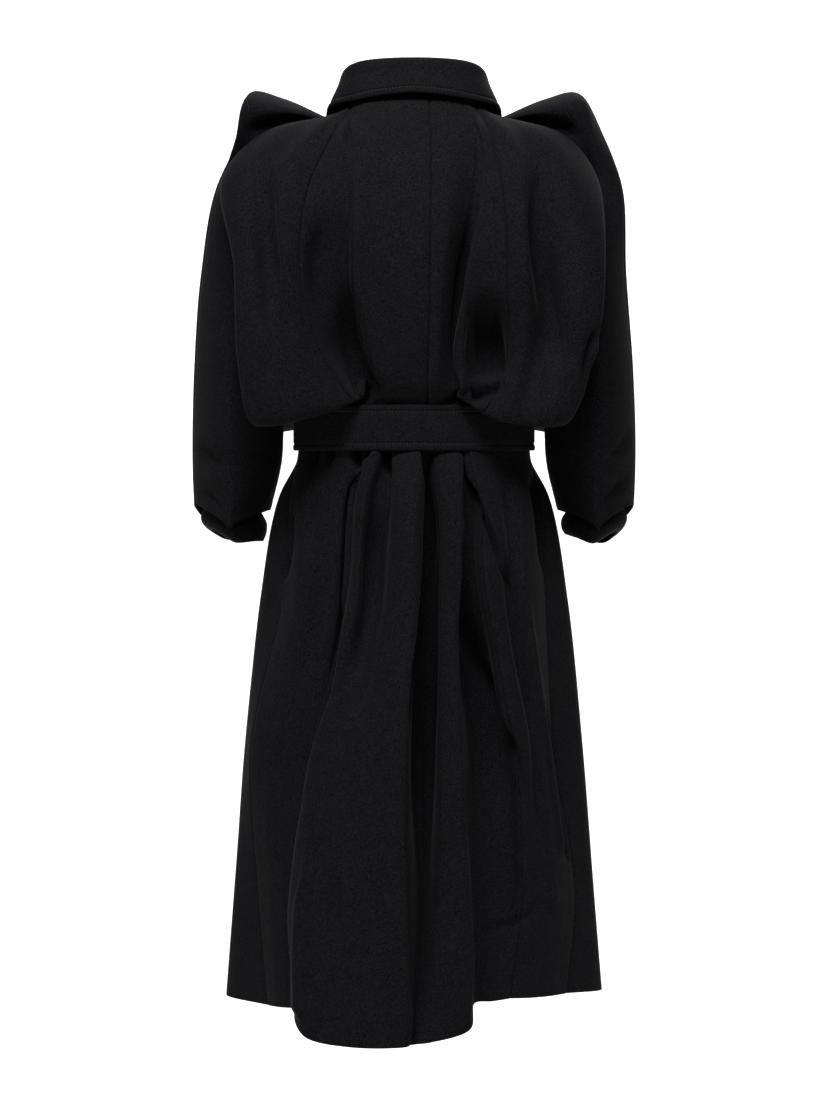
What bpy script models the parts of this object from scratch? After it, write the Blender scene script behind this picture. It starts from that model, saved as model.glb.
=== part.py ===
"""Belted wool coat with peaked shoulders, a draped back and turned cuffs, held in its worn form.

The photographed side, the back, faces -Y, +X is the wearer's right and +Z is up. The origin lies
between the two points where the shoulders meet the neck. Tables are in millimetres.
"""

import math
from collections import namedtuple

import bpy
import numpy as np

MM = 0.001

# Cloth and seams
CLOTH = 2.5
COLLAR_CLOTH = 4.0
STAND_CLOTH = 3.0
CUFF_CLOTH = 3.0
BELT_CLOTH = 4.5
SEAM_GAP = 0.3

# Waist and belt
WAIST_HALF_WIDTH = 141.0
WAIST_HALF_DEPTH = 102.0
BELT_TOP = -354.0
BELT_WIDTH = 52.0
BELT_TILT = 0.04
BELT_EASE = 1.2
BELT_LAP = 110.0
BELT_LAP_GAP = 0.8
TUCK_OUT = 4.0
TUCK_RISE = 9.0
SIDE_TUCK_OUT = 3.0
SIDE_TUCK_DROP = 5.0

# Lengths of the back, measured down from the neck points
YOKE, BLADE, CHEST, BLOUSE = -42.0, -121.0, -214.0, -300.0
HIP, THIGH, KNEE, HEM = -587.0, -762.0, -940.0, -1067.0
HEM_TILT = 0.014
FLARE_OUT, FLARE_DOWN = 0.58, 0.33
NECK_SIDE, NECK_RISE, NECK_HALF_WIDTH = -9.0, 26.0, 97.0

# The wearer's left front passes under the right one by this much
LAP_GAP = 3.4

# Steps between one station and the next, down the body and the sleeves, then across each piece
BODY_STEPS = (3, 6, 3, 3, 3, 3, 1, 2, 2, 3, 3, 3, 3)
ARMHOLE_STEPS = sum(BODY_STEPS[:5])
RIDGE_STEPS = (3, 2, 2, 2, 3, 3, 3, 3, 3)
SLEEVE_STEPS = (3, 3, 3, 3)
SIDE_STEPS = (2, 2, 2, 2, 2, 2)
FOLD_STEPS = (2, 2, 1, 2, 2, 2, 2, 1, 2, 2)
FRONT_STEPS = (2, 2, 1, 2, 1, 2)
BELT_STEPS = 72
COLLAR_STEPS = (4, 4, 4, 5)
CUFF_STEPS = 2
BELT_ROW = slice(sum(BODY_STEPS[:7]), sum(BODY_STEPS[:8]) + 1)

# The lines that folds and seams of the back follow, from the neck to the hem. Each pair is
# (across, depth), at the belt (across, recess behind the waist's ellipse); a third number is a height.
Fold = namedtuple("Fold", "name neck yoke blade chest blouse loop belt_top belt_low hip thigh knee hem")
BACK_FOLDS = (
    Fold("princess_left", (-72, 50), (-99, 92), (-127, 128), (-130, 134), (-107, 118), (-69, 111, -351),
         (-56, 2), (-54, 5), (-76, 84), (-106, 92), (-122, 94), (-126, 98, -1066)),
    Fold("hollow_left", (-67, 54), (-88, 97), (-103, 124), (-102, 113), (-89, 90), (-62, 106, -345),
         (-49, 4), (-46, 1), (-68, 113), (-113, 126), (-139, 130), (-139, 138, -1068)),
    Fold("tuck_valley_left", (-62, 57), (-80, 100), (-79, 123), (-79, 108), (-75, 84), (-55, 103, -341),
         (-43, 4), (-36, 7), (-50, 106), (-90, 148), (-121, 165), (-124, 180, -1085)),
    Fold("tuck_edge_left", (-57, 60), (-74, 106), (-74, 134), (-73, 137), (-67, 124), (-47, 114, -339),
         (-37, 1), (-23, 1), (-24, 130), (-46, 166), (-62, 188), (-68, 206, -1091)),
    Fold("centre_left", (-20, 68), (-27, 108), (-27, 135), (-27, 139), (-26, 127), (-18, 115, -338),
         (-14, 1), (9, 1), (-3, 134), (-10, 166), (-12, 186), (-9, 204, -1091)),
    Fold("centre_seam", (18, 68), (20, 107), (20, 134), (19, 138), (17, 125), (16, 114, -338),
         (16, 1), (18, 8), (9, 86), (11, 98), (10, 138), (-1, 193, -1090)),
    Fold("centre_right", (42, 64), (48, 104), (42, 131), (34, 135), (29, 124), (28, 113, -338),
         (29, 2), (27, 1), (28, 115), (33, 142), (30, 168), (20, 196, -1087)),
    Fold("tuck_valley_right", (56, 59), (73, 98), (68, 116), (52, 106), (45, 99), (43, 107, -341),
         (43, 4), (49, 1), (56, 118), (57, 138), (61, 158), (64, 172, -1078)),
    Fold("tuck_edge_right", (63, 56), (78, 104), (72, 133), (56, 137), (49, 127), (52, 116, -349),
         (51, 1), (55, 6), (62, 92), (66, 102), (70, 112), (72, 120, -1056)),
    Fold("strip_right", (67, 53), (85, 102), (88, 136), (84, 134), (80, 100), (65, 119, -357),
         (57, 1), (60, 6), (76, 84), (106, 82), (112, 92), (92, 110, -1056)),
    Fold("princess_right", (72, 50), (92, 98), (105, 136), (108, 143), (106, 118), (80, 121, -367),
         (64, 1), (65, 2), (86, 106), (119, 98), (127, 100), (114, 104, -1054)),
)

# Lines in space round each armhole, down to the point under the arm: (across, depth, height)
Line = namedtuple("Line", "neck yoke blade chest blouse loop")
CREST_LEFT = Line((-96, 34, -7), (-175, 50, -26), (-226, 70, -84), (-210, 122, -196),
                  (-205, 130, -309), (-189, 118, -381))
CREST_RIGHT = Line((97, 34, -7), (177, 50, -30), (215, 70, -86), (223, 118, -196),
                   (211, 128, -300), (180, 118, -380))
ARMHOLE_BACK_LEFT = Line((-97, 17, -9), (-170, 14, -28), (-218, 14, -86), (-190, 36, -196),
                         (-176, 42, -296), (-155, -5, -344))
ARMHOLE_BACK_RIGHT = Line((97, 17, -9), (170, 14, -30), (214, 14, -88), (200, 36, -196),
                          (178, 42, -296), (155, -5, -344))

# Lines of the fronts, on the wearer's left. Each triple is (across, forward, height).
ARMHOLE_FRONT = Line((-97, 8, -12), (-170, 40, -26), (-217, 48, -90), (-190, 72, -196),
                     (-176, 74, -296), (-155, 5, -344))
CREST_FRONT = Line((-90, 26, -22), (-165, 66, -48), (-212, 80, -105), (-206, 108, -205),
                   (-200, 112, -309), (-188, 98, -381))
CHEST_FRONT = Line((-68, 52, -42), (-112, 92, -78), (-130, 128, -132), (-128, 150, -216),
                   (-122, 150, -305), (-118, 132, -372))
EDGE_FRONT = Line((0, 78, -66), (0, 106, -98), (0, 134, -144), (0, 146, -220),
                  (0, 138, -296), (0, 118, -324))

# How far the side of the back swells past a straight line from princess seam to crest
# and how far it rises or sags there
DRAPE_SWELL = Line(3, 14, 26, 16, 20, 14)
LIFT = Line(0, 2, 4, 4, 0, -8)
SOFT_VALLEY = {-1: Line(0, 5, 12, 14, 8, 3), 1: Line(0, 6, 18, 22, 18, 6)}
SIDE_SHARES = {-1: (0.27, 0.5, 0.77), 1: (0.2, 0.4, 0.72)}
ROLL_SHARE = 0.5
BACK_ROLL_OUT = Line(0.22, 0.2, 0.12, 0.04, 0, -0.06)

# The same swell of the chest, and how far the cloth rolls out before it turns in to the armhole
CHEST_SWELL = Line(3, 16, 38, 46, 50, 26)
FRONT_ROLL_OUT = Line(0.22, 0.22, 0.22, 0.2, 0.12, -0.06)

# Side seams of the skirt as (across, depth), and how far the flank swells between the folds
Skirt = namedtuple("Skirt", "hip thigh knee hem")
SIDE_SEAM = {-1: Skirt((-158, 38), (-196, 38), (-188, 38), (-176, 52)),
             1: Skirt((158, 38), (168, 40), (194, 30), (184, 46))}
SIDE_HEM = {-1: -1071.0, 1: -1058.0}
FLANK_SWELL = Skirt(20, 11, 9, 7)
FLANK_FOLD = {-1: Skirt(5, 0, 0, 0), 1: Skirt(16, 8, 2, 0)}
FRONT_HALF_WIDTH = Skirt(188, 206, 220, 230)
FRONT_DEPTH = Skirt(138, 153, 164, 173)
FRONT_FOLD = Skirt(4, 8, 11, 13)
FRONT_TURNS = (0, 4, 27, 47, 63, 77, 90)
WAIST_TURNS = (0, 15, 32, 49, 64, 77, 90)
FRONT_WAVE = (0, 0, -1, 1, -1, 0.6, 0.6)
PLACKET_SHARE = 0.68
FRONT_SWELL = (0, 0.35, 0.05)
PLACKET_SWELL = (0, 0.21, 0.03)
FLANK_OUT = 0.5

# The sleeve: the seam over the shoulder and down the outside, and the swell behind and before it
Ridge = namedtuple("Ridge", "neck yoke peak cap blade chest blouse loop elbow mouth")
RIDGE = {
    -1: Ridge((-98, -4, -6), (-160, 10, 23), (-199, 13, 30), (-208, 10, -36), (-239, 6, -86),
              (-258, 4, -190), (-267, 8, -302), (-270, 12, -385), (-270, 16, -435), (-269, 20, -474)),
    1: Ridge((98, -4, -6), (160, 10, 22), (200, 13, 29), (232, 10, -24), (254, 6, -86),
             (257, 4, -190), (266, 8, -302), (270, 12, -385), (270, 16, -435), (269, 20, -474)),
}
SLEEVE_BACK = Ridge((-98, -12, -7.5), (-170, -30, 3), (-204, -30, 7), (-215, -29, -32), (-231, -16, -88),
                    (-226, -42, -194), (-224, -58, -304), (-220, -60, -388), (-218, -52, -440),
                    (-221, -42, -503))
SLEEVE_FRONT = Ridge((-98, 4, -8), (-170, 30, 6), (-206, 33, 6), (-220, 36, -30), (-243, 44, -88),
                     (-252, 78, -194), (-256, 94, -304), (-254, 100, -388), (-252, 102, -440),
                     (-248, 104, -496))
INNER_ARM = ((-161, 20, -418), (-175, 34, -478))

# Rings of the turned cuff, each the shape of the sleeve's mouth drawn in and moved toward the body;
# each drops below the mouth's middle height, follows its uneven edge in part and may hang lower inside
CuffRing = namedtuple("CuffRing", "drop share shift")
CUFF_RINGS = (CuffRing(-26, 0.74, 0), CuffRing(-4, 0.79, 1), CuffRing(8, 0.77, 2),
              CuffRing(16, 0.71, 4), CuffRing(24, 0.61, 7))
CUFF_FOLLOW = {-1: 0.5, 1: 0.7}
CUFF_TILT = {-1: 0.2, 1: 0.0}

# Collar stations on the wearer's left, from the centre back to the front
CollarStation = namedtuple("CollarStation", "base fold edge")
COLLAR = (
    CollarStation((0, -64, 20), (0, -66, 58), (0, -84, 14)),
    CollarStation((-58, -53, 14.5), (-67, -48, 56), (-78, -63, 7)),
    CollarStation((-92, -9, -4), (-81, -4, 49), (-105, -14, 5)),
    CollarStation((-79, 36, -26), (-66, 42, 16), (-99, 46, -24)),
    CollarStation((-3, 76, -62), (-5, 77, -26), (-42, 117, -92)),
)
STAND_DROP = 13.0
STAND_IN = 1.0

# How the fall turns over the stand: share of the way from the fold to the edge, then out and up
CollarTurn = namedtuple("CollarTurn", "share out up")
COLLAR_TURNS = (CollarTurn(0, -9, -8), CollarTurn(0, -5.4, -1), CollarTurn(0, 0, 0.5), CollarTurn(0, 6.8, -4),
                CollarTurn(0.38, 3, 0), CollarTurn(0.7, 2, 0), CollarTurn(1, 0, 0))

COAT_COLOUR = (0.0085, 0.0083, 0.0088, 1.0)
COAT_ROUGHNESS = 0.9
SHARP_ANGLE = 60.0
TINY = 1e-9


def through(points, steps, before=None, after=None):
    """Smooth curve through points along the first axis, with steps[i] steps from point i to the next."""
    points = np.asarray(points, float)
    first = 2 * points[0] - points[1] if before is None else before
    last = 2 * points[-1] - points[-2] if after is None else after
    chain = np.concatenate([first[None], points, last[None]])
    span = np.sqrt(np.linalg.norm(np.diff(chain, axis=0), axis=-1, keepdims=True)) + TINY
    slope = np.diff(chain, axis=0) / span
    tangent = (slope[:-1] * span[1:] + slope[1:] * span[:-1]) / (span[:-1] + span[1:])
    made = [points[0]]
    for i, count in enumerate(steps):
        for k in range(1, count + 1):
            t = k / count
            made.append(points[i] * (1 + 2 * t) * (1 - t) ** 2
                        + points[i + 1] * t * t * (3 - 2 * t)
                        + span[i + 1] * (tangent[i] * t * (1 - t) ** 2
                                         + tangent[i + 1] * t * t * (t - 1)))
    return np.stack(made)


def loft(rails, along, across):
    """Grid of points, rows down and columns across, through rails that each have the same stations."""
    rows = through(np.swapaxes(np.asarray(rails, float), 0, 1), along)
    return np.swapaxes(through(np.swapaxes(rows, 0, 1), across), 0, 1)


def normals_of(grid):
    """Outward normals of a grid whose columns run anticlockwise seen from above."""
    return unit(np.cross(slopes(grid), np.swapaxes(slopes(np.swapaxes(grid, 0, 1)), 0, 1)))


def slopes(grid):
    """Direction along the first axis at each point, halfway between the steps before and after it."""
    steps = unit(np.diff(grid, axis=0))
    return np.concatenate([steps[:1], (steps[:-1] + steps[1:]) / 2, steps[-1:]])


def unit(vectors):
    """Vectors of length one."""
    return vectors / (np.linalg.norm(vectors, axis=-1, keepdims=True) + TINY)


def waist(across):
    """Depth of the waist's ellipse at a place across it."""
    return WAIST_HALF_DEPTH * math.sqrt(max(0.0, 1 - (across / WAIST_HALF_WIDTH) ** 2))


def on_waist(turn, height, out=0.0):
    """Point on the waist's ellipse; turn is in degrees, 0 at the wearer's left and 90 at the back."""
    a = math.radians(turn)
    across = -(WAIST_HALF_WIDTH + out) * math.cos(a)
    depth = (WAIST_HALF_DEPTH + out) * math.sin(a)
    return (across, -depth, height - BELT_TILT * depth)


def tuck_point(turn, share):
    """Point just above the belt where the blousing turns in; share is 0 at the middle and 1 at the side."""
    rise = TUCK_RISE - SIDE_TUCK_DROP * share
    return on_waist(turn, BELT_TOP + rise, TUCK_OUT + SIDE_TUCK_OUT * share)


def back_fold_rail(fold):
    """One line of the back from neck to hem as points in space."""
    neck_height = NECK_SIDE + NECK_RISE * (1 - abs(fold.neck[0] / NECK_HALF_WIDTH) ** 3)
    heights = (neck_height, YOKE, BLADE, CHEST, BLOUSE, fold.loop[2])
    rail = [(pair[0], -pair[1], height) for pair, height in zip(fold[1:7], heights)]
    for across, recess, drop in ((*fold.belt_top, 0.0), (*fold.belt_low, BELT_WIDTH)):
        depth = waist(across) - recess
        rail.append((across, -depth, BELT_TOP - drop - BELT_TILT * depth))
    top = rail[-2]
    rail.insert(-2, (top[0], top[1] - TUCK_OUT, top[2] + TUCK_RISE))
    for pair, height in zip(fold[9:], (HIP, THIGH, KNEE, fold.hem[2])):
        rail.append((pair[0], -pair[1], height))
    return rail


def flared(rail):
    """Adds the station just below the belt, where the cloth springs out over the hip."""
    low, hip = np.array(rail[8]), np.array(rail[9])
    flare = low + (hip - low) * (FLARE_OUT, FLARE_OUT, FLARE_DOWN)
    return [*rail[:9], flare, *rail[9:]]


def side_seam_point(side, level):
    """Point of a side seam below the belt; level 0 is the hip and 3 the hem."""
    across, depth = SIDE_SEAM[side][level]
    return np.array((across, -depth, (HIP, THIGH, KNEE, SIDE_HEM[side])[level]), float)


def side_rails(side, princess, crest, armhole, princess_turn):
    """Rails from the princess seam to the armhole and side seam: three on the drape, crest, roll, seam."""
    rails = [[] for _ in range(6)]
    for i in range(6):
        inner, outer = np.array(princess[i]), np.array(crest[i]) * (1, -1, 1)
        seam = np.array(armhole[i]) * (1, -1, 1)
        for k, share in enumerate(SIDE_SHARES[side]):
            swell = DRAPE_SWELL[i] * math.sin(math.pi * share) - (SOFT_VALLEY[side][i] if k == 1 else 0)
            rails[k].append(inner + (outer - inner) * share + (0, -swell, LIFT[i]))
        rails[3].append(outer)
        roll = outer + (seam - outer) * ROLL_SHARE
        rails[4].append(roll + (side * BACK_ROLL_OUT[i] * np.linalg.norm(seam - outer), 0, 0))
        rails[5].append(seam)
    for k, rail in enumerate(rails):
        share = (k + 1) / len(rails)
        turn = princess_turn + ((0 if side < 0 else 180) - princess_turn) * share
        rail.append(tuck_point(turn, share))
        rail.append(on_waist(turn, BELT_TOP))
        rail.append(on_waist(turn, BELT_TOP - BELT_WIDTH))
        for level in range(4):
            inner, outer = np.array(princess[9 + level]), side_seam_point(side, level)
            swell = FLANK_SWELL[level] * math.sin(math.pi * share)
            swell -= FLANK_FOLD[side][level] if k == 1 else 0
            point = inner + (outer - inner) * share
            rail.append(point + (side * FLANK_OUT * swell, -swell, 0))
    return rails


def back_grid():
    """The whole back between the two armholes and side seams, with the column of each named line."""
    centre = [back_fold_rail(fold) for fold in BACK_FOLDS]
    turns = [math.degrees(math.acos(-rail[7][0] / WAIST_HALF_WIDTH)) for rail in (centre[0], centre[-1])]
    left = side_rails(-1, centre[0], CREST_LEFT, ARMHOLE_BACK_LEFT, turns[0])
    right = side_rails(1, centre[-1], CREST_RIGHT, ARMHOLE_BACK_RIGHT, turns[1])
    rails = [flared(rail) for rail in left[::-1] + centre + right]
    across = SIDE_STEPS + FOLD_STEPS + SIDE_STEPS
    starts = np.concatenate([[0], np.cumsum(across)])
    names = {fold.name: int(starts[len(left) + k]) for k, fold in enumerate(BACK_FOLDS)}
    return loft(rails, BODY_STEPS, across), names


def front_half(side):
    """Rails of one front, from the armhole and side seam to the middle of the front."""
    armhole, crest, chest, edge = (np.array(line, float) for line in
                                   (ARMHOLE_FRONT, CREST_FRONT, CHEST_FRONT, EDGE_FRONT))
    roll = armhole + (crest - armhole) * ROLL_SHARE
    roll[:, 0] -= np.array(FRONT_ROLL_OUT) * np.linalg.norm(crest - armhole, axis=1)
    swell = np.array(CHEST_SWELL)[:, None]
    shoulder = (crest + chest) / 2 + swell * FRONT_SWELL
    placket = chest + (edge - chest) * PLACKET_SHARE + swell * PLACKET_SWELL
    rails = [list(rail) for rail in (armhole, roll, crest, shoulder, chest, placket, edge)]
    for rail, turn, waist_turn, wave in zip(rails, FRONT_TURNS, WAIST_TURNS, FRONT_WAVE):
        rail.append(tuck_point(-waist_turn, 1 - waist_turn / 90))
        rail.append(on_waist(-waist_turn, BELT_TOP))
        rail.append(on_waist(-waist_turn, BELT_TOP - BELT_WIDTH))
        a = math.radians(turn)
        for level, height in enumerate((HIP, THIGH, KNEE, HEM)):
            fold = FRONT_FOLD[level] * wave
            reach = (FRONT_HALF_WIDTH[level] + fold * math.cos(a)) * math.cos(a)
            tilt = HEM_TILT * side * reach if height == HEM else 0
            rail.append((-reach, (FRONT_DEPTH[level] + fold) * math.sin(a), height + tilt))
    rails = np.array(rails) * (-side, 1, 1)
    rails[0, 9:] = [side_seam_point(side, level) for level in range(4)]
    return np.array([flared(rail) for rail in rails])


def front_grids():
    """Both fronts, cut from one smooth form; the wearer's left front is set in where it passes under."""
    right, left = front_half(1), front_half(-1)
    grid = loft(np.concatenate([right, left[-2::-1]]), BODY_STEPS, FRONT_STEPS + FRONT_STEPS[::-1])
    middle, lap = sum(FRONT_STEPS), FRONT_STEPS[-1]
    set_in = np.clip((middle + 2 * lap - np.arange(grid.shape[1])) / lap, 0, 1)
    under = grid - normals_of(grid) * (LAP_GAP * set_in * set_in * (3 - 2 * set_in))[None, :, None]
    return {1: grid[:, :middle + lap + 1], -1: under[:, middle - lap:]}


def sleeve_grid(side, back_edge, front_edge):
    """Sleeve open along the armhole and closed below it, its columns from the back seam to the front one."""
    mirror = np.array((-side, 1, 1))
    ridge = through(np.array(RIDGE[side]), RIDGE_STEPS)
    back = through(np.array(SLEEVE_BACK) * mirror, RIDGE_STEPS)
    front = through(np.array(SLEEVE_FRONT) * mirror, RIDGE_STEPS)
    inner = through(np.array((ARMHOLE_FRONT.loop, *INNER_ARM)) * mirror, RIDGE_STEPS[-2:])
    inner[0] = back_edge[ARMHOLE_STEPS]
    seam_back = np.concatenate([back_edge[:ARMHOLE_STEPS], inner])
    seam_front = np.concatenate([front_edge[:ARMHOLE_STEPS], inner])
    closed = np.clip((np.arange(len(ridge)) - ARMHOLE_STEPS) / RIDGE_STEPS[-2], 0, 1)[:, None]
    before = (2 * seam_back - back) * (1 - closed) + front * closed
    after = (2 * seam_front - front) * (1 - closed) + back * closed
    grid = through(np.stack([seam_back, back, ridge, front, seam_front]), SLEEVE_STEPS, before, after)
    grid = np.swapaxes(grid, 0, 1)
    return grid if side > 0 else grid[:, ::-1]


def wool(name):
    """Matt black wool of one piece."""
    material = bpy.data.materials.new(f"{name}_wool")
    material.use_nodes = True
    shader = material.node_tree.nodes["Principled BSDF"]
    shader.inputs["Base Color"].default_value = COAT_COLOUR
    shader.inputs["Roughness"].default_value = COAT_ROUGHNESS
    shader.inputs["Metallic"].default_value = 0.0
    return material


def wall(name, outer, inner, collection, ring=False):
    """Closed solid between an outer and an inner grid of points; a ring joins its first and last columns."""
    rows, columns = outer.shape[:2]
    count = rows * columns
    points = np.concatenate([outer.reshape(-1, 3), inner.reshape(-1, 3)]) * MM
    spans = columns if ring else columns - 1
    faces = []
    for r in range(rows - 1):
        for c in range(spans):
            a, b = r * columns + c, r * columns + (c + 1) % columns
            faces.append((a, a + columns, b + columns, b))
            faces.append((a + count, b + count, b + columns + count, a + columns + count))
    for c in range(spans):
        d = (c + 1) % columns
        faces.append((c, d, d + count, c + count))
        low, low_next = (rows - 1) * columns + c, (rows - 1) * columns + d
        faces.append((low, low + count, low_next + count, low_next))
    if not ring:
        for r in range(rows - 1):
            a, b = r * columns, (r + 1) * columns
            faces.append((a, a + count, b + count, b))
            a, b = a + columns - 1, b + columns - 1
            faces.append((a, b, b + count, a + count))
    mesh = bpy.data.meshes.new(name)
    mesh.from_pydata(points.tolist(), [], faces)
    mesh.shade_smooth()
    mesh.set_sharp_from_angle(angle=math.radians(SHARP_ANGLE))
    mesh.materials.append(wool(name))
    made = bpy.data.objects.new(name, mesh)
    collection.objects.link(made)
    return made


def panel(name, grid, normals, columns, collection, trim=(True, True)):
    """One cut piece: a span of a grid's columns, drawn back half a seam gap at its trimmed edges."""
    first, last = columns
    outer = grid[:, first:last + 1].copy()
    normal = normals[:, first:last + 1]
    for edge, inside, wanted in ((0, 1, trim[0]), (-1, -2, trim[1])):
        if wanted:
            outer[:, edge] += unit(outer[:, inside] - outer[:, edge]) * SEAM_GAP / 2
    return wall(name, outer, outer - normal * CLOTH, collection)


def share_seam(normals_a, column_a, normals_b, column_b, rows):
    """Gives two grids the same normals along a seam, so that their edges lie flush."""
    both = unit(normals_a[rows, column_a] + normals_b[rows, column_b])
    normals_a[rows, column_a] = both
    normals_b[rows, column_b] = both


def inside_belt(grid):
    """Draws the rows under the belt in to the waist's ellipse."""
    rows = grid[BELT_ROW]
    reach = np.hypot(rows[..., 0] / WAIST_HALF_WIDTH, rows[..., 1] / WAIST_HALF_DEPTH)
    rows[..., :2] /= np.maximum(reach, 1)[..., None]


def body(collection):
    """Back, fronts and sleeves, cut along their seams."""
    back, column = back_grid()
    fronts = front_grids()
    below = slice(ARMHOLE_STEPS, None)
    fronts[-1][below, -1] = back[below, 0]
    fronts[1][below, 0] = back[below, -1]
    for grid in (back, *fronts.values()):
        inside_belt(grid)
    back_normals = normals_of(back)
    front_normals = {side: normals_of(grid) for side, grid in fronts.items()}
    share_seam(back_normals, 0, front_normals[-1], -1, below)
    share_seam(back_normals, -1, front_normals[1], 0, below)

    def cut(name, first, last):
        panel(name, back, back_normals, (column.get(first, 0), column.get(last, back.shape[1] - 1)),
              collection)

    cut("side_back_left", None, "princess_left")
    cut("back_left", "princess_left", "centre_seam")
    cut("back_right", "centre_seam", "princess_right")
    cut("side_back_right", "princess_right", None)
    for side, word in ((-1, "left"), (1, "right")):
        grid = fronts[side]
        panel(f"front_{word}", grid, front_normals[side], (0, grid.shape[1] - 1), collection,
              trim=(side > 0, side < 0))
        back_edge = back[:, 0 if side < 0 else -1]
        front_edge = grid[:, -1 if side < 0 else 0]
        sleeve = sleeve_grid(side, back_edge, front_edge)
        normals = normals_of(sleeve)
        closed = slice(ARMHOLE_STEPS, None)
        share_seam(normals, 0, normals, -1, closed)
        half = sleeve.shape[1] // 2
        words = ("back", "front") if side > 0 else ("front", "back")
        panel(f"sleeve_{words[0]}_{word}", sleeve, normals, (0, half), collection)
        panel(f"sleeve_{words[1]}_{word}", sleeve, normals, (half, 2 * half), collection)
        cuff(side, sleeve[-1], collection)


def cuff(side, mouth, collection):
    """Tapered ring of turned cloth that shows below the sleeve's mouth."""
    word = "left" if side < 0 else "right"
    ring = mouth[:-1]
    steps = [CUFF_STEPS] * len(ring)
    ring = through(np.concatenate([ring, ring[:1]]), steps, before=ring[-1], after=ring[1])[:-1]
    centre = ring.mean(axis=0)
    rows = []
    for k, cut in enumerate(CUFF_RINGS):
        row = centre + (ring - centre) * cut.share
        row[:, 0] -= side * cut.shift
        tilt = CUFF_TILT[side] * (k / (len(CUFF_RINGS) - 1)) ** 2
        row[:, 2] = centre[2] - cut.drop + CUFF_FOLLOW[side] * (ring[:, 2] - centre[2])
        row[:, 2] += side * tilt * (row[:, 0] - row[:, 0].mean())
        rows.append(row)
    outer = np.stack(rows)
    wrapped = np.concatenate([outer[:, -1:], outer, outer[:, :1]], axis=1)
    normal = normals_of(wrapped)[:, 1:-1]
    wall(f"cuff_{word}", outer, outer - normal * CUFF_CLOTH, collection, ring=True)


def collar_lines():
    """Base, fold and edge lines of the collar from the wearer's right front round the back to the left."""
    lines = []
    for which in range(3):
        half = through([station[which] for station in COLLAR], COLLAR_STEPS,
                       before=np.array(COLLAR[1][which]) * (-1, 1, 1))
        lines.append(np.concatenate([half[::-1], half[1:] * (-1, 1, 1)]))
    return lines


def collar(collection):
    """Stand round the neck, and the fall that turns over it."""
    base, fold, edge = collar_lines()
    up = np.array((0, 0, 1.0))
    out = unit((fold - fold.mean(axis=0)) * (1, 1, 0))
    stand_top = fold - up * STAND_DROP - out * STAND_IN
    stand = np.stack([base + (stand_top - base) * t for t in (1, 0.5, 0)])
    normal = normals_of(stand)
    wall("collar_stand", stand, stand - normal * STAND_CLOTH, collection)
    fall = np.stack([fold + (edge - fold) * turn.share + out * turn.out + up * turn.up
                     for turn in COLLAR_TURNS])
    normal = normals_of(fall)
    wall("collar_fall", fall, fall - normal * COLLAR_CLOTH, collection)


def belt(collection):
    """Strip round the waist whose end laps over its start at the front."""
    lap = math.degrees(BELT_LAP / WAIST_HALF_WIDTH)
    turns = np.linspace(-90 - lap / 2, 270 + lap / 2, BELT_STEPS + 1)
    ease = np.clip((turns - (270 - lap)) / (lap / 2), 0, 1)
    out = BELT_EASE + BELT_CLOTH + (BELT_CLOTH + BELT_LAP_GAP) * ease * ease * (3 - 2 * ease)
    rows = [np.array([on_waist(turn, BELT_TOP - drop, more) for turn, more in zip(turns, out)])
            for drop in (0, BELT_WIDTH / 2, BELT_WIDTH)]
    outer = np.stack(rows)
    wall("belt", outer, outer - normals_of(outer) * BELT_CLOTH, collection)


def main():
    """Clears the scene and builds every piece."""
    for old in list(bpy.data.objects):
        bpy.data.objects.remove(old)
    collection = bpy.data.collections.new("wool_coat")
    bpy.context.scene.collection.children.link(collection)
    body(collection)
    collar(collection)
    belt(collection)


main()
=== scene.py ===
"""Looks of a belted black wool coat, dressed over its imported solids.

Sizes are in millimetres unless a name says otherwise. The photographed side, the back, faces -Y,
+X is the wearer's right and +Z is up. The forms repeat the solids' own tables at a finer step and
then take the smaller creases, rolled seams and stitches that the solids leave out.
"""

import logging
import math
from dataclasses import dataclass
from enum import Enum
from typing import NamedTuple, Optional, Sequence

import bpy
import numpy as np
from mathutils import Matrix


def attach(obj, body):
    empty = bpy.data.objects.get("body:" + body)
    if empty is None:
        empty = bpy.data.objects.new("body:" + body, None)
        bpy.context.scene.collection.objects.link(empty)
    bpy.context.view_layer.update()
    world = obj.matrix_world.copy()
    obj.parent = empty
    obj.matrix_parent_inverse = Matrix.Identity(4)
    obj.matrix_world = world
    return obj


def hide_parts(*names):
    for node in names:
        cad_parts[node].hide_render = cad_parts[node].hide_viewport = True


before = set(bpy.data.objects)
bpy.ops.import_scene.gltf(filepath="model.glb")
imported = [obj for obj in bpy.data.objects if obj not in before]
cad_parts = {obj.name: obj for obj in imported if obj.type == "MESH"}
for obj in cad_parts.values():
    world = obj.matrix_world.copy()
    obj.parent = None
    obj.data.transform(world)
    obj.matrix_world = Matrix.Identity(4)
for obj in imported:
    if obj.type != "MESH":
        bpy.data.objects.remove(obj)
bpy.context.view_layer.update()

LOG = logging.getLogger("coat")
MM = 0.001
TINY = 1e-9
CAD_BODY = "root"
STARTUP_OBJECTS = ("Camera", "Cube", "Light")
PHOTO_HEIGHT_PX = 1102
QUARTER_TURN = 90
FULL_TURN = 360

Points = np.ndarray


class Side(Enum):
    """The wearer's left and right, by the sign of X."""

    LEFT = -1
    RIGHT = 1


class Facing(Enum):
    """The way a crease's cloth faces, by the sign of Y."""

    BACK = -1
    FRONT = 1


class CreaseKind(Enum):
    """A hollow, a raised fold, or an edge whose cloth on the right of its path stands over the rest."""

    TROUGH = "trough"
    RIDGE = "ridge"
    LAP = "lap"


# Curves and grids


# Weight of a point in a softening, where each neighbour weighs one
OWN_WEIGHT = 2


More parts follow.
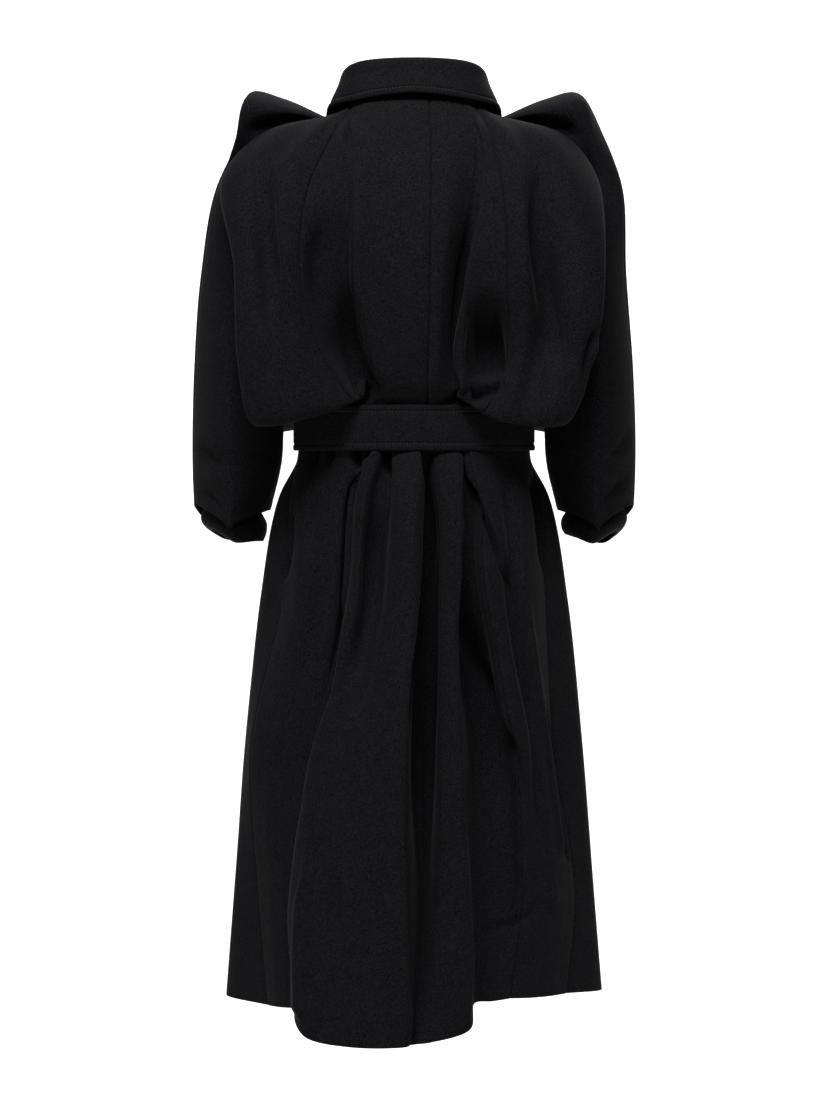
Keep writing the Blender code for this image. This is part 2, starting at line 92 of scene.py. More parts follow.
def unit(vectors: Points) -> Points:
    """Gives vectors the length one."""
    return vectors / (np.linalg.norm(vectors, axis=-1, keepdims=True) + TINY)


def smooth_step(share: Points) -> Points:
    """Eases a share from 0 to 1 with level ends."""
    held = np.clip(share, 0, 1)
    return held * held * (3 - 2 * held)


def through(points: Points, steps: Sequence[int], before: Optional[Points] = None,
            after: Optional[Points] = None) -> Points:
    """Draws a smooth curve through points along their first axis.

    Args:
        points: The points or rows of points that the curve passes.
        steps: How many steps lie between each point and the next.
        before: The point that would come before the first.
        after: The point that would come after the last.

    Returns:
        The points of the curve.
    """
    points = np.asarray(points, float)
    first = 2 * points[0] - points[1] if before is None else before
    last = 2 * points[-1] - points[-2] if after is None else after
    chain = np.concatenate([first[None], points, last[None]])
    span = np.sqrt(np.linalg.norm(np.diff(chain, axis=0), axis=-1, keepdims=True)) + TINY
    slope = np.diff(chain, axis=0) / span
    tangent = (slope[:-1] * span[1:] + slope[1:] * span[:-1]) / (span[:-1] + span[1:])
    made = [points[0]]
    for i, count in enumerate(steps):
        for k in range(1, count + 1):
            t = k / count
            made.append(points[i] * (1 + 2 * t) * (1 - t) ** 2 + points[i + 1] * t * t * (3 - 2 * t)
                        + span[i + 1] * (tangent[i] * t * (1 - t) ** 2 + tangent[i + 1] * t * t * (t - 1)))
    return np.stack(made)


def loft(rails: Points, along: Sequence[int], across: Sequence[int]) -> Points:
    """Spans rails that have the same stations.

    Args:
        rails: The rails, each with a point for every station.
        along: Steps from station to station.
        across: Steps from rail to rail.

    Returns:
        A grid of points, rows down and columns across.
    """
    rows = through(np.swapaxes(np.asarray(rails, float), 0, 1), along)
    return np.swapaxes(through(np.swapaxes(rows, 0, 1), across), 0, 1)


def slopes(grid: Points) -> Points:
    """Gives the direction along the first axis, halfway between the steps on either side."""
    steps = unit(np.diff(grid, axis=0))
    return np.concatenate([steps[:1], (steps[:-1] + steps[1:]) / 2, steps[-1:]])


def normals_of(grid: Points) -> Points:
    """Gives the outward normals of a grid whose columns run anticlockwise seen from above."""
    return unit(np.cross(slopes(grid), np.swapaxes(slopes(np.swapaxes(grid, 0, 1)), 0, 1)))


def softened(grid: Points, rounds: int) -> Points:
    """Averages each point of a grid with its neighbours, several times, with its rim left free.

    Args:
        grid: Rows and columns of vectors.
        rounds: How many times to average.

    Returns:
        The softened grid.
    """
    soft = grid
    for _ in range(rounds):
        wide = np.pad(soft, ((1, 1), (1, 1), (0, 0)), mode="edge")
        around = (wide[:-2, 1:-1], wide[2:, 1:-1], wide[1:-1, :-2], wide[1:-1, 2:])
        soft = sum(around, OWN_WEIGHT * soft) / (OWN_WEIGHT + len(around))
    return soft


def lengths_along(grid: Points) -> Points:
    """Gives the distance travelled along the first axis at each point."""
    steps = np.linalg.norm(np.diff(grid, axis=0), axis=-1)
    return np.concatenate([np.zeros_like(steps[:1]), np.cumsum(steps, axis=0)])


def lengths_across(grid: Points) -> Points:
    """Gives the distance travelled along the second axis at each point."""
    return np.swapaxes(lengths_along(np.swapaxes(grid, 0, 1)), 0, 1)


# Creases


class Crease(NamedTuple):
    """A soft crease: the shares that fade at its ends, and its (across, height) points."""

    kind: CreaseKind
    width: float
    depth: float
    ends: tuple
    path: tuple


def hollow(width: float, depth: float, ends: tuple, *path: tuple) -> Crease:
    """Lays a hollow along a path."""
    return Crease(CreaseKind.TROUGH, width, depth, ends, path)


def raised(width: float, depth: float, ends: tuple, *path: tuple) -> Crease:
    """Raises a fold along a path."""
    return Crease(CreaseKind.RIDGE, width, depth, ends, path)


def lapped(width: float, depth: float, ends: tuple, *path: tuple) -> Crease:
    """Lays the cloth on the right of a path over the rest."""
    return Crease(CreaseKind.LAP, width, depth, ends, path)


CREASE_STEPS = 8
CREASE_REACH = 3.0
CREASE_NORMAL_ROUNDS = 2
LAP_REACH = 5.0
FACING_EASE = 3.0


class Nearness(NamedTuple):
    """How points lie to a line: their signed distance to its right, and the share along it."""

    right: Points
    share: Points


def near_line(points: Points, line: Points) -> Nearness:
    """Finds where points lie along a line in a plane.

    Args:
        points: Points in the plane.
        line: The points of the line, in order.

    Returns:
        Their distances to the right of the line and shares along it.
    """
    runs = np.diff(line, axis=0)
    sizes = np.linalg.norm(runs, axis=1)
    starts = np.concatenate([[0], np.cumsum(sizes)])
    best = np.full(len(points), np.inf)
    right = np.zeros(len(points))
    share = np.zeros(len(points))
    for start, run, size, done in zip(line, runs, sizes, starts):
        offset = points - start
        t = np.clip(offset @ run / (size * size), 0, 1)
        distance = np.linalg.norm(offset - t[:, None] * run, axis=1)
        closer = distance < best
        sign = np.where(run[1] * offset[:, 0] - run[0] * offset[:, 1] >= 0, 1.0, -1.0)
        best = np.where(closer, distance, best)
        right = np.where(closer, distance * sign, right)
        share = np.where(closer, (done + t * size) / starts[-1], share)
    return Nearness(right, share)


def crease_move(crease: Crease, near: Nearness) -> Points:
    """Works out how far a crease moves the cloth outward.

    Args:
        crease: The crease.
        near: Where the points lie to its path.

    Returns:
        The outward move of each point.
    """
    lead, trail = crease.ends
    fade = smooth_step(near.share / max(lead, TINY)) * smooth_step((1 - near.share) / max(trail, TINY))
    if crease.kind is CreaseKind.LAP:
        rise = smooth_step(near.right / crease.width + 0.5)
        return crease.depth * fade * rise * np.exp(-(near.right / (LAP_REACH * crease.width)) ** 2)
    bell = np.exp(-(near.right / crease.width) ** 2)
    return crease.depth * fade * bell * (1 if crease.kind is CreaseKind.RIDGE else -1)


def press(grid: Points, facing: Facing, creases: Sequence[Crease]) -> Points:
    """Presses creases into the cloth that faces one way.

    Args:
        grid: The cloth's grid of points.
        facing: The way the creased cloth faces.
        creases: The creases.

    Returns:
        The creased grid.
    """
    normals = softened(normals_of(grid), CREASE_NORMAL_ROUNDS)
    faces_it = smooth_step(normals[..., 1] * facing.value * FACING_EASE + 0.5).ravel()
    flat = grid[..., (0, 2)].reshape(-1, 2)
    move = np.zeros(len(flat))
    for crease in creases:
        line = through(np.array(crease.path, float), [CREASE_STEPS] * (len(crease.path) - 1))
        margin = crease.width * CREASE_REACH * (LAP_REACH if crease.kind is CreaseKind.LAP else 1)
        inside = ((flat > line.min(axis=0) - margin) & (flat < line.max(axis=0) + margin)).all(axis=1)
        move[inside] += crease_move(crease, near_line(flat[inside], line))
    return grid + normals * (move * faces_it).reshape(grid.shape[:2])[..., None]


# Nodes and finishes


def to_linear(code: str) -> tuple:
    """Turns an sRGB hex colour to linear red, green, blue and alpha."""
    parts = [int(code[i:i + 2], 16) / 255 for i in (1, 3, 5)]
    return tuple(p / 12.92 if p <= 0.04045 else ((p + 0.055) / 1.055) ** 2.4 for p in parts) + (1.0,)


def join(tree: bpy.types.NodeTree, node: bpy.types.Node, links: dict) -> None:
    """Fills a node's inputs.

    Args:
        tree: The node's tree.
        node: The node.
        links: For each input, by name or place, another node's output or a plain value.
    """
    for key, value in links.items():
        if isinstance(value, bpy.types.NodeSocket):
            tree.links.new(value, node.inputs[key])
        else:
            node.inputs[key].default_value = value


def add_node(tree: bpy.types.NodeTree, kind: str, links: Optional[dict] = None,
             **settings: object) -> bpy.types.Node:
    """Adds a node to a tree.

    Args:
        tree: The tree of a material, a world or a geometry group.
        kind: The node's type.
        links: For each input, by name or place, another node's output or a plain value.
        settings: Values of the node's own properties.

    Returns:
        The node.
    """
    made = tree.nodes.new(kind)
    for key, value in settings.items():
        setattr(made, key, value)
    join(tree, made, links or {})
    return made


# Places of the colours on a mix node, and of the plain numbers on a random value node
MIX_FROM = 6
MIX_TO = 7
MIX_RESULT = 2
RANDOM_LEAST = 2
RANDOM_MOST = 3
RANDOM_RESULT = 1


def blend(tree: bpy.types.NodeTree, share: bpy.types.NodeSocket, dark: str,
          pale: str) -> bpy.types.NodeSocket:
    """Mixes two colours.

    Args:
        tree: The tree of a material.
        share: The share of the pale colour.
        dark: The dark colour as sRGB hex.
        pale: The pale colour as sRGB hex.

    Returns:
        The mixed colour.
    """
    colours = {"Factor": share, MIX_FROM: to_linear(dark), MIX_TO: to_linear(pale)}
    return add_node(tree, "ShaderNodeMix", colours, data_type="RGBA").outputs[MIX_RESULT]


def start_material(name: str) -> tuple:
    """Starts a material.

    Args:
        name: The material's name.

    Returns:
        The material, its node tree and its shader.
    """
    made = bpy.data.materials.new(name)
    made.use_nodes = True
    return made, made.node_tree, made.node_tree.nodes["Principled BSDF"]


# Radians that a wave texture turns in one unit at scale one
WAVE_TURN = 20


@dataclass(frozen=True)
class MilledWool:
    """Milled woollen cloth: its fulled nap hides most of the weave, and scatters light."""

    name: str = "milled_black_wool"
    dark: str = "#0c0c0e"
    pale: str = "#1f1e21"
    tone_range: float = 0.18
    thread_mm: float = 1.7
    thread_height_mm: float = 0.16
    thread_wander: float = 2.2
    thread_detail: float = 2.0
    thread_detail_scale: float = 1.6
    nap_mm: float = 1.8
    nap_height_mm: float = 0.14
    nap_detail: float = 1.5
    nap_roughness: float = 0.6
    mottle_mm: float = 22.0
    mottle_share: float = 0.1
    mottle_detail: float = 4.0
    least_roughness: float = 0.72
    most_roughness: float = 0.9
    sheen: float = 0.02
    sheen_roughness: float = 0.4
    specular: float = 0.02

    def material(self) -> bpy.types.Material:
        """Builds the cloth's material; the threads are drawn coarser than the real ones so that they show.

        Returns:
            The material.
        """
        made, tree, shader = start_material(self.name)
        place = add_node(tree, "ShaderNodeTexCoord").outputs
        threads = {"Vector": place["UV"], "Scale": math.pi / (WAVE_TURN * self.thread_mm * MM),
                   "Distortion": self.thread_wander, "Detail": self.thread_detail,
                   "Detail Scale": self.thread_detail_scale}
        warp, weft = (add_node(tree, "ShaderNodeTexWave", threads, bands_direction=way).outputs["Fac"]
                      for way in ("X", "Y"))
        weave = add_node(tree, "ShaderNodeMath", {0: warp, 1: weft}, operation="MULTIPLY")
        nap = add_node(tree, "ShaderNodeTexNoise", {
            "Vector": place["Object"], "Scale": 1 / (self.nap_mm * MM), "Detail": self.nap_detail,
            "Roughness": self.nap_roughness}).outputs["Fac"]
        mottle = add_node(tree, "ShaderNodeTexNoise", {
            "Vector": place["Object"], "Scale": 1 / (self.mottle_mm * MM),
            "Detail": self.mottle_detail}).outputs["Fac"]
        mix = add_node(tree, "ShaderNodeMath", {0: mottle, 1: self.mottle_share, 2: nap},
                       operation="MULTIPLY_ADD")
        middle = (1 + self.mottle_share) / 2
        tone = add_node(tree, "ShaderNodeMapRange", {
            "Value": mix.outputs[0], "From Min": middle - self.tone_range,
            "From Max": middle + self.tone_range})
        rough = add_node(tree, "ShaderNodeMapRange", {
            "Value": nap, "To Min": self.least_roughness, "To Max": self.most_roughness})
        woven = add_node(tree, "ShaderNodeBump", {
            "Height": weave.outputs[0], "Strength": 1.0, "Distance": self.thread_height_mm * MM})
        fulled = add_node(tree, "ShaderNodeBump", {
            "Height": nap, "Strength": 1.0, "Distance": self.nap_height_mm * MM, "Normal": woven.outputs[0]})
        join(tree, shader, {
            "Base Color": blend(tree, tone.outputs[0], self.dark, self.pale), "Roughness": rough.outputs[0],
            "Normal": fulled.outputs[0], "Sheen Weight": self.sheen, "Sheen Roughness": self.sheen_roughness,
            "Specular IOR Level": self.specular})
        return made


@dataclass(frozen=True)
class SewingThread:
    """Spun black sewing thread: tight twisted strands, a little glossier than the cloth."""

    name: str = "black_sewing_thread"
    dark: str = "#1a191c"
    pale: str = "#242327"
    twist_mm: float = 0.7
    roughness: float = 0.6

    def material(self) -> bpy.types.Material:
        """Builds the thread's material.

        Returns:
            The material.
        """
        made, tree, shader = start_material(self.name)
        place = add_node(tree, "ShaderNodeTexCoord").outputs
        twist = add_node(tree, "ShaderNodeTexNoise", {"Vector": place["Object"],
                                                      "Scale": 1 / (self.twist_mm * MM)})
        join(tree, shader, {"Base Color": blend(tree, twist.outputs["Fac"], self.dark, self.pale),
                            "Roughness": self.roughness})
        return made


@dataclass(frozen=True)
class StudioPaper:
    """Matt white backdrop paper."""

    name: str = "studio_paper"
    colour: str = "#f7f7f5"
    roughness: float = 0.95

    def material(self) -> bpy.types.Material:
        """Builds the paper's material.

        Returns:
            The material.
        """
        made, tree, shader = start_material(self.name)
        join(tree, shader, {"Base Color": to_linear(self.colour), "Roughness": self.roughness})
        return made


def put(name: str, data: bpy.types.ID) -> bpy.types.Object:
    """Puts a mesh, a camera or a lamp into the scene.

    Args:
        name: The object's name.
        data: What it holds.

    Returns:
        The object.
    """
    made = bpy.data.objects.new(name, data)
    bpy.context.scene.collection.objects.link(made)
    return made


# Cloth walls


class Sewn(NamedTuple):
    """The row from which a piece's first and last column roll into a seam, or none on a free edge."""

    first: Optional[int] = 0
    last: Optional[int] = 0


class Roll(NamedTuple):
    """One line of the roll beside a seam: how far from it, at most what share of a step, and how deep."""

    away: float
    share: float
    depth: float


SEAM_ROLL = (Roll(-0.1, 0.08, 1.5), Roll(0.9, 0.35, 0.7), Roll(2.2, 0.7, 0.1))
SEAM_HOLLOW = 1.3
SEAM_REACH = 2.4
SEAM_EASE_ROWS = 6
RIM_BULGE = 0.32
RIM_LOOPS = ((0.22, 0.8), (0.5, 1.0), (0.78, 0.8))
NORMAL_ROUNDS = 3


@dataclass
class ClothPiece:
    """One cut piece of cloth as a closed thin wall with rolled seams and rounded rims."""

    name: str
    grid: Points
    normals: Points
    thickness: float
    sewn: Sewn = Sewn()
    ring: bool = False
    held: str = "hung"
    rests_on: tuple = ()

    def rolled(self) -> tuple:
        """Adds the lines beside each sewn edge where the cloth rolls into its seam.

        Returns:
            The grid and its normals.
        """
        grid, normals = self.grid, self.normals
        for turn, start in ((1, self.sewn.first), (-1, self.sewn.last)):
            if start is None or self.ring:
                continue
            grid, normals = grid[:, ::turn], normals[:, ::turn]
            edge_normals = normals[:, :1]
            deep = smooth_step((np.arange(len(grid)) - start) / SEAM_EASE_ROWS + (start == 0))[:, None]
            drawn_in = SEAM_HOLLOW * deep * np.exp(-(lengths_across(grid) / SEAM_REACH) ** 2)
            grid = grid - normals * drawn_in[..., None]
            step = grid[:, 1] - grid[:, 0]
            size = np.linalg.norm(step, axis=1, keepdims=True) + TINY
            lines = [grid[:, 0] + step * np.minimum(roll.away / size, roll.share)
                     - edge_normals[:, 0] * roll.depth * deep for roll in SEAM_ROLL]
            grid = np.concatenate([np.stack(lines, axis=1), grid[:, 1:]], axis=1)[:, ::turn]
            normals = np.concatenate([edge_normals] * len(lines) + [normals[:, 1:]], axis=1)[:, ::turn]
        return grid, normals

    def rims(self, rows: int, columns: int) -> list:
        """Lists the closed edge lines of the grid.

        Args:
            rows: Rows of the grid.
            columns: Columns of the grid.

        Returns:
            For each edge line, the places of its points and of the points next to them inside.
        """
        place = np.arange(rows * columns).reshape(rows, columns)
        if self.ring:
            return [(place[0], place[1]), (place[-1, ::-1], place[-2, ::-1])]
        near = np.pad(place[1:-1, 1:-1], 1, mode="edge")
        around = [(0, slice(0, -1)), (slice(0, -1), -1), (-1, slice(-1, 0, -1)), (slice(-1, 0, -1), 0)]
        return [(np.concatenate([place[a] for a in around]), np.concatenate([near[a] for a in around]))]

    def cloth_lengths(self, grid: Points) -> Points:
        """Measures the cloth from its middle column and top row.

        Args:
            grid: The cloth's grid with its rolled seams.

        Returns:
            A pattern's coordinates in metres.
        """
        across = lengths_across(grid)
        across = across - across[:, across.shape[1] // 2][:, None]
        return np.stack([across, -lengths_along(grid)], axis=-1) * MM

    def build(self, finish: bpy.types.Material) -> bpy.types.Object:
        """Makes the piece's mesh and fits it to its solid.

        Args:
            finish: The cloth's material.

        Returns:
            The piece.
        """
        grid, normals = self.rolled()
        rows, columns = grid.shape[:2]
        inner = grid - softened(normals, NORMAL_ROUNDS) * self.thickness
        count = rows * columns
        points = [grid.reshape(-1, 3), inner.reshape(-1, 3)]
        pattern = self.cloth_lengths(grid).reshape(-1, 2)
        patterns = [pattern, pattern]
        place = np.arange(count).reshape(rows, columns)
        if self.ring:
            place = np.concatenate([place, place[:, :1]], axis=1)
        a, b, c, d = place[:-1, :-1], place[1:, :-1], place[1:, 1:], place[:-1, 1:]
        faces = [np.stack([a, b, c, d], axis=-1).reshape(-1, 4),
                 np.stack([a, d, c, b], axis=-1).reshape(-1, 4) + count]
        total = 2 * count
        for edge, near in self.rims(rows, columns):
            outward = unit(points[0][edge] - points[0][near]) * self.thickness * RIM_BULGE
            if not self.ring:
                outward[self.sewn_rim(rows, columns)] = 0
            loops = [edge]
            for share, bulge in RIM_LOOPS:
                points.append(points[0][edge] * (1 - share) + points[1][edge] * share + outward * bulge)
                patterns.append(pattern[edge])
                loops.append(np.arange(total, total + len(edge)))
                total += len(edge)
            loops.append(edge + count)
            for p, q in zip(loops[:-1], loops[1:]):
                faces.append(np.stack([p, np.roll(p, -1), np.roll(q, -1), q], axis=-1))
        mesh = bpy.data.meshes.new(self.name)
        mesh.from_pydata((np.concatenate(points) * MM).tolist(), [], np.concatenate(faces).tolist())
        self.lay_pattern(mesh, np.concatenate(patterns))
        mesh.shade_smooth()
        mesh.materials.append(finish)
        piece = put(self.name + "_cloth", mesh)
        self.fit(piece)
        return piece

    def sewn_rim(self, rows: int, columns: int) -> Points:
        """Tells which points of the edge line lie in a seam.

        Args:
            rows: Rows of the grid.
            columns: Columns of the grid.

        Returns:
            A yes or no for each point, in the order that rims gives them.
        """
        first = np.full(rows - 1, self.sewn.first is not None)
        last = np.full(rows - 1, self.sewn.last is not None)
        free = np.zeros(columns - 1, bool)
        return np.concatenate([free, last, free, first])

    def lay_pattern(self, mesh: bpy.types.Mesh, pattern: Points) -> None:
        """Stores the cloth's own lengths as the mesh's UV map.

        Args:
            mesh: The piece's mesh.
            pattern: The pattern's coordinates of each of its points.
        """
        corners = np.zeros(len(mesh.loops), np.int32)
        mesh.loops.foreach_get("vertex_index", corners)
        layer = mesh.uv_layers.new(name="cloth")
        layer.data.foreach_set("uv", pattern[corners].astype(np.float32).ravel())

    def fit(self, piece: bpy.types.Object) -> None:
        """Hides the solid and rides on its body.

        Args:
            piece: The piece.
        """
        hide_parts(self.name)
        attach(piece, CAD_BODY)


# Stitches


STITCH_GROOVE_WIDTH = 1.5


@dataclass(frozen=True)
class Topstitch:
    """A row of stitches along a line on the cloth, repeated by geometry nodes."""

    name: str
    pitch: float = 4.2
    length: float = 3.0
    radius: float = 0.42
    jitter: float = 0.12
    seed: int = 7
    sides: int = 8
    rings: int = 6

    def tree(self) -> bpy.types.NodeTree:
        """Builds the node group that sets one stitch at each step of a line.

        Returns:
            The group, with inputs named for what they set.
        """
        group = bpy.data.node_groups.new(self.name + "_stitches", "GeometryNodeTree")
        group.interface.new_socket("Line", in_out="INPUT", socket_type="NodeSocketGeometry")
        for label in ("Pitch", "Length", "Radius", "Jitter"):
            group.interface.new_socket(label, in_out="INPUT", socket_type="NodeSocketFloat")
        group.interface.new_socket("Seed", in_out="INPUT", socket_type="NodeSocketInt")
        group.interface.new_socket("Thread", in_out="INPUT", socket_type="NodeSocketMaterial")
        group.interface.new_socket("Stitches", in_out="OUTPUT", socket_type="NodeSocketGeometry")
        given = add_node(group, "NodeGroupInput").outputs
        curve = add_node(group, "GeometryNodeMeshToCurve", {"Mesh": given["Line"]})
        points = add_node(group, "GeometryNodeResampleCurve",
                          {"Curve": curve.outputs["Curve"], "Length": given["Pitch"]}, mode="LENGTH")
        tangent = add_node(group, "GeometryNodeInputTangent")
        turn = add_node(group, "FunctionNodeAlignRotationToVector",
                        {"Vector": tangent.outputs["Tangent"]}, axis="Z")
        least = add_node(group, "ShaderNodeMath", {0: 1.0, 1: given["Jitter"]}, operation="SUBTRACT")
        vary = add_node(group, "FunctionNodeRandomValue",
                        {RANDOM_LEAST: least.outputs[0], RANDOM_MOST: 1.0, "Seed": given["Seed"]},
                        data_type="FLOAT")
        half = add_node(group, "ShaderNodeMath", {0: given["Length"], 1: 0.5}, operation="MULTIPLY")
        long = add_node(group, "ShaderNodeMath", {0: half.outputs[0], 1: vary.outputs[RANDOM_RESULT]},
                        operation="MULTIPLY")
        size = add_node(group, "ShaderNodeCombineXYZ",
                        {"X": given["Radius"], "Y": given["Radius"], "Z": long.outputs[0]})
        stitch = add_node(group, "GeometryNodeMeshUVSphere",
                          {"Segments": self.sides, "Rings": self.rings, "Radius": 1.0})
        rows = add_node(group, "GeometryNodeInstanceOnPoints", {
            "Points": points.outputs["Curve"], "Instance": stitch.outputs["Mesh"],
            "Rotation": turn.outputs["Rotation"], "Scale": size.outputs["Vector"]})
        real = add_node(group, "GeometryNodeRealizeInstances", {"Geometry": rows.outputs["Instances"]})
        dyed = add_node(group, "GeometryNodeSetMaterial", {"Geometry": real.outputs["Geometry"],
                                                           "Material": given["Thread"]})
        add_node(group, "NodeGroupOutput", {"Stitches": dyed.outputs["Geometry"]})
        return group

    def build(self, lines: Sequence[Points], thread: bpy.types.Material) -> None:
        """Sews stitches along lines.

        Args:
            lines: The lines, each an array of points.
            thread: The thread's material.
        """
        starts = np.cumsum([0] + [len(line) for line in lines])
        edges = [(i, i + 1) for start, end in zip(starts[:-1], starts[1:]) for i in range(start, end - 1)]
        mesh = bpy.data.meshes.new(self.name)
        mesh.from_pydata((np.concatenate(lines) * MM).tolist(), edges, [])
        piece = put(self.name, mesh)
        group = self.tree()
        modifier = piece.modifiers.new("stitches", "NODES")
        modifier.node_group = group
        values = {"Pitch": self.pitch * MM, "Length": self.length * MM, "Radius": self.radius * MM,
                  "Jitter": self.jitter, "Seed": self.seed, "Thread": thread}
        for socket in group.interface.items_tree:
            if socket.in_out == "INPUT" and socket.name in values:
                modifier[socket.identifier] = values[socket.name]
        sewn = bpy.data.meshes.new_from_object(piece.evaluated_get(bpy.context.evaluated_depsgraph_get()))
        piece.modifiers.remove(modifier)
        piece.data = sewn
        sewn.shade_smooth()
        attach(piece, CAD_BODY)
        LOG.info("%s: %d faces", piece.name, len(sewn.polygons))


def topstitched(grid: Points, from_edge: Points, stitch_line: float, welt: float, groove: float) -> Points:
    """Raises a turned edge as a welt and draws in the cloth along its stitch line.

    Args:
        grid: The cloth's grid.
        from_edge: The distance of each point from the turned edge.
        stitch_line: How far from the edge the stitches run.
        welt: How far the cloth swells between edge and stitches.
        groove: How far the stitches draw it in.

    Returns:
        The shaped grid.
    """
    swell = welt * np.sin(math.pi * np.clip(from_edge / stitch_line, 0, 1))
    drawn = groove * np.exp(-((from_edge - stitch_line) / STITCH_GROOVE_WIDTH) ** 2)
    return grid + normals_of(grid) * (swell - drawn)[..., None]


# The coat's forms


@dataclass(frozen=True)
class Waist:
    """The belted waist, an ellipse that tilts with the belt."""

    half_width: float = 141.0
    half_depth: float = 102.0
    belt_top: float = -354.0
    belt_width: float = 52.0
    tilt: float = 0.04
    tuck_out: float = 4.0
    tuck_rise: float = 9.0
    side_tuck_out: float = 3.0
    side_tuck_drop: float = 5.0

    def depth(self, across: float) -> float:
        """Gives the ellipse's depth at a place across it."""
        return self.half_depth * math.sqrt(max(0.0, 1 - (across / self.half_width) ** 2))

    def point(self, turn: float, height: float, out: float = 0.0) -> tuple:
        """Gives a point round the waist.

        Args:
            turn: Degrees, 0 at the wearer's left and 90 at the back.
            height: Its height before the tilt.
            out: How far outside the ellipse it lies.

        Returns:
            The point.
        """
        a = math.radians(turn)
        depth = (self.half_depth + out) * math.sin(a)
        return (-(self.half_width + out) * math.cos(a), -depth, height - self.tilt * depth)

    def tuck(self, turn: float, share: float) -> tuple:
        """Gives the point above the belt where the blousing turns in.

        Args:
            turn: Degrees round the waist.
            share: 0 amid the back or the front, and 1 at the side.

        Returns:
            The point.
        """
        rise = self.tuck_rise - self.side_tuck_drop * share
        return self.point(turn, self.belt_top + rise, self.tuck_out + self.side_tuck_out * share)

    def band(self, turn: float) -> list:
        """Gives the points at the top and at the foot of the belt at one turn."""
        return [self.point(turn, self.belt_top), self.point(turn, self.belt_top - self.belt_width)]

    def draw_in(self, rows: Points) -> None:
        """Draws rows under the belt in to the ellipse."""
        reach = np.hypot(rows[..., 0] / self.half_width, rows[..., 1] / self.half_depth)
        rows[..., :2] /= np.maximum(reach, 1)[..., None]


class Fold(NamedTuple):
    """A line of the back: (across, depth) at each level, (across, recess) at the belt; a third is height."""

    name: str
    neck: tuple
    yoke: tuple
    blade: tuple
    chest: tuple
    blouse: tuple
    loop: tuple
    belt_top: tuple
    belt_low: tuple
    hip: tuple
    thigh: tuple
    knee: tuple
    hem: tuple


class Line(NamedTuple):
    """A line round an armhole, down to the point under the arm: (across, depth, height) or one size."""

    neck: tuple
    yoke: tuple
    blade: tuple
    chest: tuple
    blouse: tuple
    loop: tuple


class Skirt(NamedTuple):
    """Sizes down the skirt."""

    hip: object
    thigh: object
    knee: object
    hem: object


BODY_STEPS = (14, 24, 24, 22, 18, 12, 5, 12, 18, 42, 62, 58, 44)
ARMHOLE_STEPS = sum(BODY_STEPS[:5])
BELT_ROWS = slice(sum(BODY_STEPS[:7]), sum(BODY_STEPS[:8]) + 1)
SIDE_STEPS = (20, 14, 12, 10, 9, 9)
FOLD_STEPS = (12, 16, 22, 22, 26, 20, 18, 20, 18, 12)
FRONT_STEPS = (8, 8, 8, 10, 8, 12)
UPPER_STATIONS = len(Line._fields)
BELT_TOP = UPPER_STATIONS + 1
BELT_FOOT = BELT_TOP + 1
HIP = BELT_FOOT + 1
SKIRT_LEVELS = len(Skirt._fields)

PLEAT_CREASES = (
    lapped(3.4, 9.0, (0.35, 0.02), (-101, -703), (-89, -656), (-80, -604), (-76, -516), (-69, -458),
           (-59, -430), (-48, -406)),
    hollow(3.2, 14.0, (0.12, 0.45), (-60, -434), (-73, -458), (-80, -516), (-84, -604), (-93, -656),
           (-104, -700)),
    hollow(4.5, 15.0, (0.02, 0.8), (-33, -404), (-33, -432), (-34, -458), (-38, -505)),
    hollow(12.0, 15.0, (0.3, 0.65), (-34, -429), (-40, -481), (-47, -534), (-50, -586), (-58, -644),
           (-66, -702), (-68, -747)),
    lapped(4.0, 8.0, (0.02, 0.05), (8, -406), (9, -446), (7, -493), (5, -539), (2, -586), (-2, -632),
           (-7, -690), (-10, -750), (-12, -793), (-12, -879), (-10, -949), (-8, -1020), (-3, -1090)),
    hollow(3.0, 14.0, (0.02, 0.3), (11, -406), (12, -446), (10, -539), (7, -586), (4, -640), (0, -700),
           (-5, -765)),
    hollow(9.0, 16.0, (0.2, 0.4), (15, -412), (18, -446), (18, -539), (16, -586), (15, -632), (14, -690),
           (11, -765), (10, -864), (9, -907), (6, -975)),
    lapped(3.4, 7.0, (0.02, 0.15), (54, -406), (54, -469), (55, -539), (54, -679), (55, -765),
           (58, -836), (60, -893), (63, -949), (65, -992), (67, -1042), (65, -1080)),
    lapped(3.4, 8.0, (0.4, 0.02), (121, -598), (113, -572), (103, -548), (96, -523), (88, -500),
           (80, -476), (73, -455), (65, -436), (57, -404)),
    hollow(2.8, 14.0, (0.02, 0.75), (55, -404), (62, -436), (70, -455), (77, -476), (85, -500),
           (93, -523), (100, -546), (110, -568), (119, -590)),
    lapped(3.6, 12.0, (0.35, 0.4), (129, -830), (127, -793), (121, -761), (112, -736), (104, -713),
           (95, -685), (86, -662), (79, -635), (72, -609), (65, -574), (61, -540), (58, -500)),
    hollow(4.5, 14.0, (0.25, 0.5), (57, -500), (60, -546), (68, -609), (75, -635), (82, -662),
           (91, -685), (100, -713), (108, -736), (116, -764), (121, -800)),
    hollow(17.0, 30.0, (0.3, 0.5), (60, -550), (66, -610), (74, -665), (82, -720), (85, -775),
           (82, -840), (77, -920)),
    raised(8.0, 4.0, (0.3, 0.4), (64, -483), (75, -522), (87, -572), (96, -619)),
)
